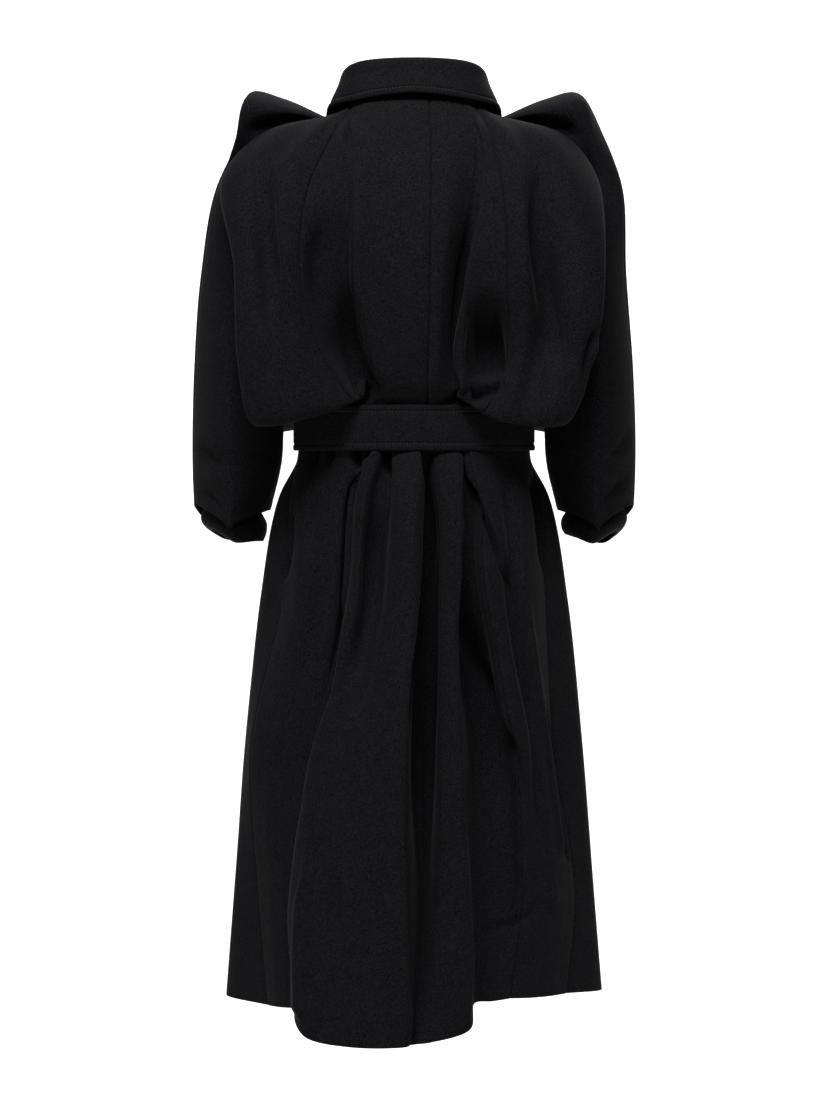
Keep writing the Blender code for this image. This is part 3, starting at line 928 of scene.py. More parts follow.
FLANK_CREASES = (
    raised(4.5, 5.0, (0.3, 0.1), (126, -551), (133, -591), (142, -656), (147, -690), (156, -744),
           (162, -778), (167, -807), (171, -839), (175, -868), (181, -903)),
    hollow(2.8, 7.0, (0.2, 0.1), (154, -707), (163, -753), (170, -799), (176, -845), (182, -885),
           (188, -907)),
    hollow(5.0, 12.0, (0.2, 0.3), (142, -432), (149, -469), (153, -499), (156, -528), (160, -563)),
    hollow(3.0, 9.0, (0.3, 0.3), (-147, -471), (-149, -521), (-154, -551), (-165, -583)),
    raised(4.0, 4.0, (0.3, 0.4), (-154, -553), (-161, -584), (-166, -612)),
    lapped(5.0, 8.0, (0.05, 0.25), (-137, -1070), (-138, -1005), (-141, -964), (-141, -919),
           (-137, -876), (-133, -847), (-128, -816), (-122, -784), (-117, -750), (-110, -721),
           (-103, -684)),
    raised(3.5, 4.0, (0.3, 0.1), (-114, -841), (-119, -868), (-123, -907), (-128, -936), (-130, -977),
           (-129, -1033), (-128, -1080)),
    hollow(15.0, 7.0, (0.5, 0.4), (-170, -740), (-155, -790), (-134, -852)),
    hollow(10.0, 7.0, (0.4, 0.4), (-94, -883), (-92, -936), (-91, -987)),
    hollow(9.0, 7.0, (0.4, 0.4), (-117, -441), (-123, -493), (-128, -546)),
    hollow(8.0, 5.0, (0.5, 0.3), (66, -978), (104, -972), (134, -959), (155, -934)),
    raised(7.0, 3.0, (0.4, 0.4), (150, -950), (163, -942), (176, -933)),
    hollow(4.5, 15.0, (0.02, 0.8), (-119, -404), (-121, -437)),
    hollow(4.0, 13.0, (0.02, 0.8), (-99, -404), (-101, -431)),
    hollow(4.5, 15.0, (0.02, 0.8), (-67, -404), (-64, -438)),
    hollow(3.4, 10.0, (0.02, 0.8), (-50, -404), (-53, -429)),
)
BLOUSE_CREASES = (
    lapped(3.0, 6.0, (0.05, 0.35), (-50, -350), (-60, -316), (-67, -270), (-71, -227), (-72, -169),
           (-73, -110), (-76, -59)),
    hollow(2.8, 10.0, (0.25, 0.1), (-75, -215), (-72, -264), (-64, -312), (-54, -346)),
    lapped(3.0, 5.0, (0.02, 0.6), (18, -360), (17, -336), (19, -307), (20, -270)),
    hollow(3.2, 10.0, (0.1, 0.2), (-80, -12), (-77, -59), (-74, -110), (-73, -169), (-72, -227),
           (-70, -264)),
    hollow(13.0, 26.0, (0.6, 0.05), (-74, -205), (-72, -262), (-66, -303), (-57, -333), (-47, -352)),
    hollow(13.0, 9.0, (0.4, 0.3), (-101, -128), (-109, -175), (-111, -221), (-102, -267)),
    hollow(4.2, 17.0, (0.25, 0.02), (61, -17), (75, -36), (78, -72), (75, -112), (68, -151), (59, -189),
           (53, -227), (50, -273), (49, -318), (48, -356)),
    hollow(13.0, 22.0, (0.6, 0.15), (90, -222), (87, -268), (90, -303), (92, -330)),
    hollow(7.0, 16.0, (0.3, 0.1), (104, -330), (86, -340), (69, -348), (53, -355)),
    hollow(10.0, 15.0, (0.3, 0.25), (143, -74), (144, -122), (147, -169), (153, -216), (159, -256),
           (166, -296), (175, -339)),
    hollow(4.5, 11.0, (0.2, 0.4), (217, -264), (210, -281), (204, -299), (200, -324), (197, -346)),
    raised(4.0, 3.0, (0.3, 0.4), (220, -264), (215, -290), (207, -316)),
    hollow(11.0, 10.0, (0.3, 0.4), (-178, -69), (-173, -122), (-169, -175), (-163, -227), (-160, -273)),
)
BACK_CREASES = PLEAT_CREASES + FLANK_CREASES + BLOUSE_CREASES
FRONT_CREASES = (
    hollow(9.0, 19.0, (0.03, 0.6), (-72, -404), (-80, -480), (-88, -580), (-95, -690)),
    hollow(6.0, 14.0, (0.03, 0.7), (-41, -404), (-45, -460), (-52, -545)),
    hollow(12.0, 21.0, (0.03, 0.5), (64, -404), (74, -500), (86, -620), (94, -770)),
    hollow(5.0, 13.0, (0.03, 0.7), (97, -404), (104, -447), (115, -515)),
    raised(10.0, 8.0, (0.4, 0.4), (121, -520), (133, -640), (142, -770), (148, -915)),
    hollow(14.0, 14.0, (0.4, 0.2), (-126, -560), (-139, -700), (-147, -860), (-151, -1010)),
    hollow(10.0, 9.0, (0.4, 0.2), (104, -860), (110, -940), (113, -1030)),
    hollow(8.0, 17.0, (0.03, 0.6), (-61, -350), (-67, -311), (-79, -262), (-85, -205)),
    hollow(6.0, 13.0, (0.05, 0.6), (-104, -352), (-112, -318), (-125, -275)),
    hollow(6.0, 14.0, (0.03, 0.7), (36, -350), (42, -312), (54, -262)),
    hollow(10.0, 19.0, (0.05, 0.5), (91, -352), (100, -300), (105, -240), (100, -176)),
)


class BackSide(NamedTuple):
    """What differs between the wearer's left and right at the back."""

    crest: Line
    armhole: Line
    soft_valley: Line
    drape_shares: tuple
    side_seam: Skirt
    side_hem: float
    flank_fold: Skirt


BACK_SIDES = {
    Side.LEFT: BackSide(
        crest=Line((-96, 34, -7), (-175, 50, -26), (-226, 70, -84), (-210, 122, -196), (-205, 130, -309),
                   (-189, 118, -381)),
        armhole=Line((-97, 17, -9), (-170, 14, -28), (-218, 14, -86), (-190, 36, -196), (-176, 42, -296),
                     (-155, -5, -344)),
        soft_valley=Line(0, 5, 12, 14, 8, 3),
        drape_shares=(0.27, 0.5, 0.77),
        side_seam=Skirt((-158, -38), (-196, -38), (-188, -38), (-176, -52)),
        side_hem=-1071.0,
        flank_fold=Skirt(5, 0, 0, 0),
    ),
    Side.RIGHT: BackSide(
        crest=Line((97, 34, -7), (177, 50, -30), (215, 70, -86), (223, 118, -196), (211, 128, -300),
                   (180, 118, -380)),
        armhole=Line((97, 17, -9), (170, 14, -30), (214, 14, -88), (200, 36, -196), (178, 42, -296),
                     (155, -5, -344)),
        soft_valley=Line(0, 6, 18, 22, 18, 6),
        drape_shares=(0.2, 0.4, 0.72),
        side_seam=Skirt((158, -38), (168, -40), (194, -30), (184, -46)),
        side_hem=-1058.0,
        flank_fold=Skirt(16, 8, 2, 0),
    ),
}


@dataclass(frozen=True)
class CoatBody:
    """Backs, side backs and fronts from neck to hem, cut from one back form and one front form."""

    waist: Waist = Waist()
    cloth: float = 2.5
    lap_gap: float = 3.4
    heights: tuple = (-42.0, -121.0, -214.0, -300.0)
    skirt_heights: Skirt = Skirt(-587.0, -762.0, -940.0, -1067.0)
    hem_tilt: float = 0.014
    flare: tuple = (0.58, 0.58, 0.33)
    neck_side: float = -9.0
    neck_rise: float = 26.0
    neck_half_width: float = 97.0
    neck_bend: int = 3
    folds: tuple = (
        Fold("princess_left", (-72, 50), (-99, 92), (-127, 128), (-130, 134), (-107, 118), (-69, 111, -351),
             (-56, 2), (-54, 5), (-76, 84), (-106, 92), (-122, 94), (-126, 98, -1066)),
        Fold("hollow_left", (-67, 54), (-88, 97), (-103, 124), (-102, 113), (-89, 90), (-62, 106, -345),
             (-49, 4), (-46, 1), (-68, 113), (-113, 126), (-139, 130), (-139, 138, -1068)),
        Fold("tuck_valley_left", (-62, 57), (-80, 100), (-79, 123), (-79, 108), (-75, 84), (-55, 103, -341),
             (-43, 4), (-36, 7), (-50, 106), (-90, 148), (-121, 165), (-124, 180, -1085)),
        Fold("tuck_edge_left", (-57, 60), (-74, 106), (-74, 134), (-73, 137), (-67, 124), (-47, 114, -339),
             (-37, 1), (-23, 1), (-24, 130), (-46, 166), (-62, 188), (-68, 206, -1091)),
        Fold("centre_left", (-20, 68), (-27, 108), (-27, 135), (-27, 139), (-26, 127), (-18, 115, -338),
             (-14, 1), (9, 1), (-3, 134), (-10, 166), (-12, 186), (-9, 204, -1091)),
        Fold("centre_seam", (18, 68), (20, 107), (20, 134), (19, 138), (17, 125), (16, 114, -338),
             (16, 1), (18, 8), (9, 86), (11, 98), (10, 138), (-1, 193, -1090)),
        Fold("centre_right", (42, 64), (48, 104), (42, 131), (34, 135), (29, 124), (28, 113, -338),
             (29, 2), (27, 1), (28, 115), (33, 142), (30, 168), (20, 196, -1087)),
        Fold("tuck_valley_right", (56, 59), (73, 98), (68, 116), (52, 106), (45, 99), (43, 107, -341),
             (43, 4), (49, 1), (56, 118), (57, 138), (61, 158), (64, 172, -1078)),
        Fold("tuck_edge_right", (63, 56), (78, 104), (72, 133), (56, 137), (49, 127), (52, 116, -349),
             (51, 1), (55, 6), (62, 92), (66, 102), (70, 112), (72, 120, -1056)),
        Fold("strip_right", (67, 53), (85, 102), (88, 136), (84, 134), (80, 100), (65, 119, -357),
             (57, 1), (60, 6), (76, 84), (106, 82), (112, 92), (92, 110, -1056)),
        Fold("princess_right", (72, 50), (92, 98), (105, 136), (108, 143), (106, 118), (80, 121, -367),
             (64, 1), (65, 2), (86, 106), (119, 98), (127, 100), (114, 104, -1054)),
    )
    armhole_front: Line = Line((-97, 8, -12), (-170, 40, -26), (-217, 48, -90), (-190, 72, -196),
                               (-176, 74, -296), (-155, 5, -344))
    crest_front: Line = Line((-90, 26, -22), (-165, 66, -48), (-212, 80, -105), (-206, 108, -205),
                             (-200, 112, -309), (-188, 98, -381))
    chest_front: Line = Line((-68, 52, -42), (-112, 92, -78), (-130, 128, -132), (-128, 150, -216),
                             (-122, 150, -305), (-118, 132, -372))
    edge_front: Line = Line((0, 78, -66), (0, 106, -98), (0, 134, -144), (0, 146, -220),
                            (0, 138, -296), (0, 118, -324))
    drape_swell: Line = Line(3, 14, 26, 16, 20, 14)
    lift: Line = Line(0, 2, 4, 4, 0, -8)
    valley_rail: int = 1
    roll_share: float = 0.5
    back_roll_out: Line = Line(0.22, 0.2, 0.12, 0.04, 0, -0.06)
    chest_swell: Line = Line(3, 16, 38, 46, 50, 26)
    front_roll_out: Line = Line(0.22, 0.22, 0.22, 0.2, 0.12, -0.06)
    flank_swell: Skirt = Skirt(20, 11, 9, 7)
    flank_out: float = 0.5
    front_half_width: Skirt = Skirt(188, 206, 220, 230)
    front_depth: Skirt = Skirt(138, 153, 164, 173)
    front_fold: Skirt = Skirt(4, 8, 11, 13)
    front_turns: tuple = (0, 4, 27, 47, 63, 77, 90)
    waist_turns: tuple = (0, 15, 32, 49, 64, 77, 90)
    front_wave: tuple = (0, 0, -1, 1, -1, 0.6, 0.6)
    placket_share: float = 0.68
    front_swell: tuple = (0, 0.35, 0.05)
    placket_swell: tuple = (0, 0.21, 0.03)

    def fold_rail(self, fold: Fold) -> list:
        """Places one line of the back.

        Args:
            fold: The line.

        Returns:
            Its points from neck to hem, without the station just below the belt.
        """
        waist = self.waist
        bend = abs(fold.neck[0] / self.neck_half_width) ** self.neck_bend
        heights = (self.neck_side + self.neck_rise * (1 - bend), *self.heights, fold.loop[2])
        rail = [(pair[0], -pair[1], height) for pair, height in zip(fold[1:UPPER_STATIONS + 1], heights)]
        for across, recess, drop in ((*fold.belt_top, 0.0), (*fold.belt_low, waist.belt_width)):
            depth = waist.depth(across) - recess
            rail.append((across, -depth, waist.belt_top - drop - waist.tilt * depth))
        top = rail[-2]
        rail.insert(-2, (top[0], top[1] - waist.tuck_out, top[2] + waist.tuck_rise))
        heights = (*self.skirt_heights[:-1], fold.hem[2])
        return rail + [(pair[0], -pair[1], height) for pair, height in zip(fold[-SKIRT_LEVELS:], heights)]

    def flared(self, rail: Sequence) -> list:
        """Adds the station just below the belt, where the cloth springs out over the hip."""
        low, hip = np.array(rail[BELT_FOOT]), np.array(rail[HIP])
        return [*rail[:HIP], low + (hip - low) * self.flare, *rail[HIP:]]

    def side_seam(self, side: Side, level: int) -> Points:
        """Places a point of a side seam below the belt.

        Args:
            side: Which side.
            level: Its level, from 0 at the hip to the hem.

        Returns:
            The point.
        """
        form = BACK_SIDES[side]
        height = (*self.skirt_heights[:-1], form.side_hem)[level]
        return np.array((*form.side_seam[level], height), float)

    def side_rails(self, side: Side, princess: Sequence, princess_turn: float) -> list:
        """Gives the rails from a princess seam to the armhole and side seam.

        Args:
            side: Which side of the back.
            princess: The princess seam's rail.
            princess_turn: Where it meets the belt, in degrees round the waist.

        Returns:
            Three rails on the drape, then the crest, the roll and the seam.
        """
        form = BACK_SIDES[side]
        rails = [[] for _ in SIDE_STEPS]
        *drape, crest_rail, roll_rail, seam_rail = rails
        for i in range(UPPER_STATIONS):
            inner, outer = np.array(princess[i]), np.array(form.crest[i]) * (1, -1, 1)
            seam = np.array(form.armhole[i]) * (1, -1, 1)
            for k, share in enumerate(form.drape_shares):
                swell = self.drape_swell[i] * math.sin(math.pi * share)
                swell -= form.soft_valley[i] if k == self.valley_rail else 0
                drape[k].append(inner + (outer - inner) * share + (0, -swell, self.lift[i]))
            crest_rail.append(outer)
            roll_out = side.value * self.back_roll_out[i] * np.linalg.norm(seam - outer)
            roll_rail.append(outer + (seam - outer) * self.roll_share + (roll_out, 0, 0))
            seam_rail.append(seam)
        seam_turn = 0 if side is Side.LEFT else 2 * QUARTER_TURN
        for k, rail in enumerate(rails):
            share = (k + 1) / len(rails)
            turn = princess_turn + (seam_turn - princess_turn) * share
            rail.extend([self.waist.tuck(turn, share), *self.waist.band(turn)])
            for level in range(SKIRT_LEVELS):
                inner, outer = np.array(princess[HIP + level]), self.side_seam(side, level)
                swell = self.flank_swell[level] * math.sin(math.pi * share)
                swell -= form.flank_fold[level] if k == self.valley_rail else 0
                swelled = (side.value * self.flank_out * swell, -swell, 0)
                rail.append(inner + (outer - inner) * share + swelled)
        return rails

    def back_grid(self) -> tuple:
        """Spans the whole back between the armholes and side seams.

        Returns:
            The grid, and the column of each named line.
        """
        centre = [self.fold_rail(fold) for fold in self.folds]
        left, right = (
            self.side_rails(side, rail, math.degrees(math.acos(-rail[BELT_TOP][0] / self.waist.half_width)))
            for side, rail in ((Side.LEFT, centre[0]), (Side.RIGHT, centre[-1])))
        rails = [self.flared(rail) for rail in left[::-1] + centre + right]
        across = SIDE_STEPS[::-1] + FOLD_STEPS + SIDE_STEPS
        starts = np.concatenate([[0], np.cumsum(across)])
        names = {fold.name: int(starts[len(left) + k]) for k, fold in enumerate(self.folds)}
        return loft(rails, BODY_STEPS, across), names

    def front_half(self, side: Side) -> Points:
        """Places the rails of one front.

        Args:
            side: Which front.

        Returns:
            The rails from the armhole and side seam to the middle of the front.
        """
        armhole, crest, chest, edge = (np.array(line, float) for line in (
            self.armhole_front, self.crest_front, self.chest_front, self.edge_front))
        roll = armhole + (crest - armhole) * self.roll_share
        roll[:, 0] -= np.array(self.front_roll_out) * np.linalg.norm(crest - armhole, axis=1)
        swell = np.array(self.chest_swell)[:, None]
        shoulder = (crest + chest) / 2 + swell * self.front_swell
        placket = chest + (edge - chest) * self.placket_share + swell * self.placket_swell
        rails = [list(rail) for rail in (armhole, roll, crest, shoulder, chest, placket, edge)]
        for rail, turn, waist_turn, wave in zip(rails, self.front_turns, self.waist_turns, self.front_wave):
            tuck = self.waist.tuck(-waist_turn, 1 - waist_turn / QUARTER_TURN)
            rail.extend([tuck, *self.waist.band(-waist_turn)])
            a = math.radians(turn)
            for level, height in enumerate(self.skirt_heights):
                fold = self.front_fold[level] * wave
                reach = (self.front_half_width[level] + fold * math.cos(a)) * math.cos(a)
                tilt = self.hem_tilt * side.value * reach if level == SKIRT_LEVELS - 1 else 0
                rail.append((-reach, (self.front_depth[level] + fold) * math.sin(a), height + tilt))
        rails = np.array(rails) * (-side.value, 1, 1)
        rails[0, HIP:] = [self.side_seam(side, level) for level in range(SKIRT_LEVELS)]
        return np.array([self.flared(rail) for rail in rails])

    def front_grids(self) -> dict:
        """Spans both fronts from one form, with the wearer's left one set in where it passes under.

        Returns:
            The grid of each side.
        """
        right, left = self.front_half(Side.RIGHT), self.front_half(Side.LEFT)
        grid = loft(np.concatenate([right, left[-2::-1]]), BODY_STEPS, FRONT_STEPS + FRONT_STEPS[::-1])
        grid = press(grid, Facing.FRONT, FRONT_CREASES)
        middle, lap = sum(FRONT_STEPS), FRONT_STEPS[-1]
        set_in = smooth_step((middle + 2 * lap - np.arange(grid.shape[1])) / lap)
        under = grid - normals_of(grid) * (self.lap_gap * set_in)[None, :, None]
        return {Side.RIGHT: grid[:, :middle + lap + 1], Side.LEFT: under[:, middle - lap:]}

    def build(self, finish: bpy.types.Material) -> dict:
        """Cuts and dresses the backs and fronts.

        Args:
            finish: The cloth's material.

        Returns:
            For each side, the edges of the back and the front that its sleeve is sewn to.
        """
        back, column = self.back_grid()
        fronts = self.front_grids()
        below = slice(ARMHOLE_STEPS, None)
        back = press(back, Facing.BACK, BACK_CREASES)
        fronts[Side.LEFT][below, -1] = back[below, 0]
        fronts[Side.RIGHT][below, 0] = back[below, -1]
        for grid in (back, *fronts.values()):
            self.waist.draw_in(grid[BELT_ROWS])
        back_normals = normals_of(back)
        normals = {side: normals_of(grid) for side, grid in fronts.items()}
        share_seam(back_normals, 0, normals[Side.LEFT], -1, below)
        share_seam(back_normals, -1, normals[Side.RIGHT], 0, below)
        last = back.shape[1] - 1
        cuts = (("side_back_left", 0, column["princess_left"], Sewn(first=ARMHOLE_STEPS)),
                ("back_left", column["princess_left"], column["centre_seam"], Sewn()),
                ("back_right", column["centre_seam"], column["princess_right"], Sewn()),
                ("side_back_right", column["princess_right"], last, Sewn(last=ARMHOLE_STEPS)))
        for name, start, end, sewn in cuts:
            cut = np.s_[:, start:end + 1]
            ClothPiece(name, back[cut], back_normals[cut], self.cloth, sewn).build(finish)
        for side, grid in fronts.items():
            sewn = Sewn(ARMHOLE_STEPS, None) if side is Side.RIGHT else Sewn(None, ARMHOLE_STEPS)
            ClothPiece(f"front_{side.name.lower()}", grid, normals[side], self.cloth, sewn).build(finish)
        return {Side.LEFT: (back[:, 0], fronts[Side.LEFT][:, -1]),
                Side.RIGHT: (back[:, -1], fronts[Side.RIGHT][:, 0])}


def share_seam(normals_a: Points, column_a: int, normals_b: Points, column_b: int, rows: slice) -> None:
    """Gives two grids the same normals along a seam, so that their edges lie flush.

    Args:
        normals_a: The first grid's normals, changed in place.
        column_a: Its column in the seam.
        normals_b: The second grid's normals, changed in place.
        column_b: Its column in the seam.
        rows: The rows that are sewn.
    """
    both = unit(normals_a[rows, column_a] + normals_b[rows, column_b])
    normals_a[rows, column_a] = both
    normals_b[rows, column_b] = both


class Ridge(NamedTuple):
    """A line of the sleeve from the neck over the shoulder to its mouth: (across, forward, height)."""

    neck: tuple
    yoke: tuple
    peak: tuple
    cap: tuple
    blade: tuple
    chest: tuple
    blouse: tuple
    loop: tuple
    elbow: tuple
    mouth: tuple


class CuffRing(NamedTuple):
    """A ring of the cuff: below the sleeve's mouth, drawn in to a share of it and moved toward the body."""

    drop: float
    share: float
    shift: float


class SleeveSide(NamedTuple):
    """What differs between the two sleeves."""

    ridge: Ridge
    cuff_follow: float
    cuff_tilt: float
    creases: tuple


SLEEVE_SIDES = {
    Side.LEFT: SleeveSide(
        ridge=Ridge((-98, -4, -6), (-160, 10, 23), (-199, 13, 30), (-208, 10, -36), (-239, 6, -86),
                    (-258, 4, -190), (-267, 8, -302), (-270, 12, -385), (-270, 16, -435), (-269, 20, -474)),
        cuff_follow=0.5,
        cuff_tilt=0.2,
        creases=(
            hollow(7.0, 9.0, (0.2, 0.35), (-112, -8), (-150, -12), (-182, -17), (-206, -30)),
            hollow(7.0, 6.0, (0.4, 0.4), (-262, -398), (-244, -418), (-222, -431)),
            hollow(5.0, 5.0, (0.4, 0.3), (-258, -452), (-243, -466), (-228, -486)),
            raised(6.0, 3.0, (0.4, 0.4), (-254, -425), (-236, -441), (-214, -449)),
        ),
    ),
    Side.RIGHT: SleeveSide(
        ridge=Ridge((98, -4, -6), (160, 10, 22), (200, 13, 29), (232, 10, -24), (254, 6, -86),
                    (257, 4, -190), (266, 8, -302), (270, 12, -385), (270, 16, -435), (269, 20, -474)),
        cuff_follow=0.7,
        cuff_tilt=0.0,
        creases=(
            hollow(7.0, 8.0, (0.2, 0.35), (112, -8), (150, -13), (180, -19), (203, -35)),
            hollow(6.0, 5.0, (0.4, 0.4), (264, -382), (248, -407), (228, -424)),
            hollow(6.0, 6.0, (0.3, 0.4), (258, -438), (240, -460), (221, -478)),
            raised(7.0, 3.0, (0.4, 0.4), (250, -415), (231, -436), (209, -447)),
        ),
    ),
}
RIDGE_STEPS = (14, 8, 8, 8, 24, 22, 18, 14, 12)
SLEEVE_STEPS = (14, 14, 14, 14)
CUFF_STEPS = 2
CUFF_ROW_STEPS = (8, 5, 5, 5)


@dataclass(frozen=True)
class Sleeve:
    """A wide sleeve of two halves that meet over the peaked shoulder, and its turned cuff."""

    side: Side
    cloth: float = 2.5
    cuff_cloth: float = 3.0
    back: Ridge = Ridge((-98, -12, -7.5), (-170, -30, 3), (-204, -30, 7), (-215, -29, -32),
                        (-231, -16, -88), (-226, -42, -194), (-224, -58, -304), (-220, -60, -388),
                        (-218, -52, -440), (-221, -42, -503))
    front: Ridge = Ridge((-98, 4, -8), (-170, 30, 6), (-206, 33, 6), (-220, 36, -30), (-243, 44, -88),
                         (-252, 78, -194), (-256, 94, -304), (-254, 100, -388), (-252, 102, -440),
                         (-248, 104, -496))
    inner_arm: tuple = ((-155, 5, -344), (-161, 20, -418), (-175, 34, -478))
    cuff_rings: tuple = (CuffRing(-26, 0.7, 0), CuffRing(-4, 0.72, 1), CuffRing(11, 0.85, 2),
                         CuffRing(22, 0.8, 4), CuffRing(28, 0.68, 7))
    mouth_point: float = 15.0
    mouth_point_columns: float = 3.5
    mouth_point_reach: float = 3.0
    seam_hold_columns: float = 4.0
    cuff_rounding: int = 60

    def grid(self, back_edge: Points, front_edge: Points) -> Points:
        """Spans the sleeve, open along the armhole and closed below it.

        Args:
            back_edge: The back's edge that it is sewn to.
            front_edge: The front's edge that it is sewn to.

        Returns:
            The grid, its columns anticlockwise from the back seam or the front one.
        """
        mirror = np.array((-self.side.value, 1, 1))
        ridge = through(np.array(SLEEVE_SIDES[self.side].ridge), RIDGE_STEPS)
        back = through(np.array(self.back) * mirror, RIDGE_STEPS)
        front = through(np.array(self.front) * mirror, RIDGE_STEPS)
        inner = through(np.array(self.inner_arm) * mirror, RIDGE_STEPS[-2:])
        inner[0] = back_edge[ARMHOLE_STEPS]
        seam_back = np.concatenate([back_edge[:ARMHOLE_STEPS], inner])
        seam_front = np.concatenate([front_edge[:ARMHOLE_STEPS], inner])
        closed = np.clip((np.arange(len(ridge)) - ARMHOLE_STEPS) / RIDGE_STEPS[-2], 0, 1)[:, None]
        before = (2 * seam_back - back) * (1 - closed) + front * closed
        after = (2 * seam_front - front) * (1 - closed) + back * closed
        lines = np.stack([seam_back, back, ridge, front, seam_front])
        grid = np.swapaxes(through(lines, SLEEVE_STEPS, before, after), 0, 1)
        low = smooth_step((np.arange(len(grid)) - len(grid) + 1 + RIDGE_STEPS[-1]) / RIDGE_STEPS[-1])
        away = np.abs(np.arange(grid.shape[1]) - SLEEVE_STEPS[0]) / self.mouth_point_columns
        rise = (1 - np.exp(-away)) * np.exp(-(away / self.mouth_point_reach) ** 2)
        grid[..., 2] += low[:, None] * self.mouth_point * rise
        return grid if self.side is Side.RIGHT else grid[:, ::-1]

    def build(self, edges: tuple, finish: bpy.types.Material) -> None:
        """Cuts and dresses the sleeve's halves and its cuff.

        Args:
            edges: The edges of the back and the front that it is sewn to.
            finish: The cloth's material.
        """
        word = self.side.name.lower()
        grid = self.grid(*edges)
        column = np.arange(grid.shape[1])
        free = smooth_step(np.minimum(column, column[::-1]) / self.seam_hold_columns)
        creased = press(grid, Facing.BACK, SLEEVE_SIDES[self.side].creases)
        grid = grid + (creased - grid) * free[None, :, None]
        normals = normals_of(grid)
        share_seam(normals, 0, normals, -1, slice(ARMHOLE_STEPS, None))
        half = grid.shape[1] // 2
        words = ("back", "front") if self.side is Side.RIGHT else ("front", "back")
        for name, start in zip(words, (0, half)):
            sewn = Sewn(first=ARMHOLE_STEPS) if start == 0 else Sewn(last=ARMHOLE_STEPS)
            cut = np.s_[:, start:start + half + 1]
            ClothPiece(f"sleeve_{name}_{word}", grid[cut], normals[cut], self.cloth, sewn).build(finish)
        self.build_cuff(grid[-1], finish)

    def build_cuff(self, mouth: Points, finish: bpy.types.Material) -> None:
        """Makes the tapered ring of turned cloth that shows below the sleeve's mouth.

        Args:
            mouth: The sleeve's lowest row.
            finish: The cloth's material.
        """
        word = self.side.name.lower()
        form = SLEEVE_SIDES[self.side]
        ring = mouth[:-1]
        ring = through(np.concatenate([ring, ring[:1]]), [CUFF_STEPS] * len(ring),
                       before=ring[-1], after=ring[1])[:-1]
        for _ in range(self.cuff_rounding):
            around = (np.roll(ring[:, 2], 1), np.roll(ring[:, 2], -1))
            ring[:, 2] = sum(around, OWN_WEIGHT * ring[:, 2]) / (OWN_WEIGHT + len(around))
        centre = ring.mean(axis=0)
        rows = []
        for k, cut in enumerate(self.cuff_rings):
            row = centre + (ring - centre) * cut.share
            row[:, 0] -= self.side.value * cut.shift
            tilt = form.cuff_tilt * (k / (len(self.cuff_rings) - 1)) ** 2
            row[:, 2] = centre[2] - cut.drop + form.cuff_follow * (ring[:, 2] - centre[2])
            row[:, 2] += self.side.value * tilt * (row[:, 0] - row[:, 0].mean())
            rows.append(row)
        outer = through(np.stack(rows), CUFF_ROW_STEPS)
        wrapped = np.concatenate([outer[:, -1:], outer, outer[:, :1]], axis=1)
        ClothPiece(f"cuff_{word}", outer, normals_of(wrapped)[:, 1:-1], self.cuff_cloth, ring=True,
                   held="folded", rests_on=(f"sleeve_back_{word}", f"sleeve_front_{word}")).build(finish)


class CollarStation(NamedTuple):
    """The collar's base, fold and edge at one place round the neck."""

    base: tuple
    fold: tuple
    edge: tuple


class CollarTurn(NamedTuple):
    """A line of the fall: its share of the way from the fold to the edge, then out and up."""

    share: float
    out: float
    up: float


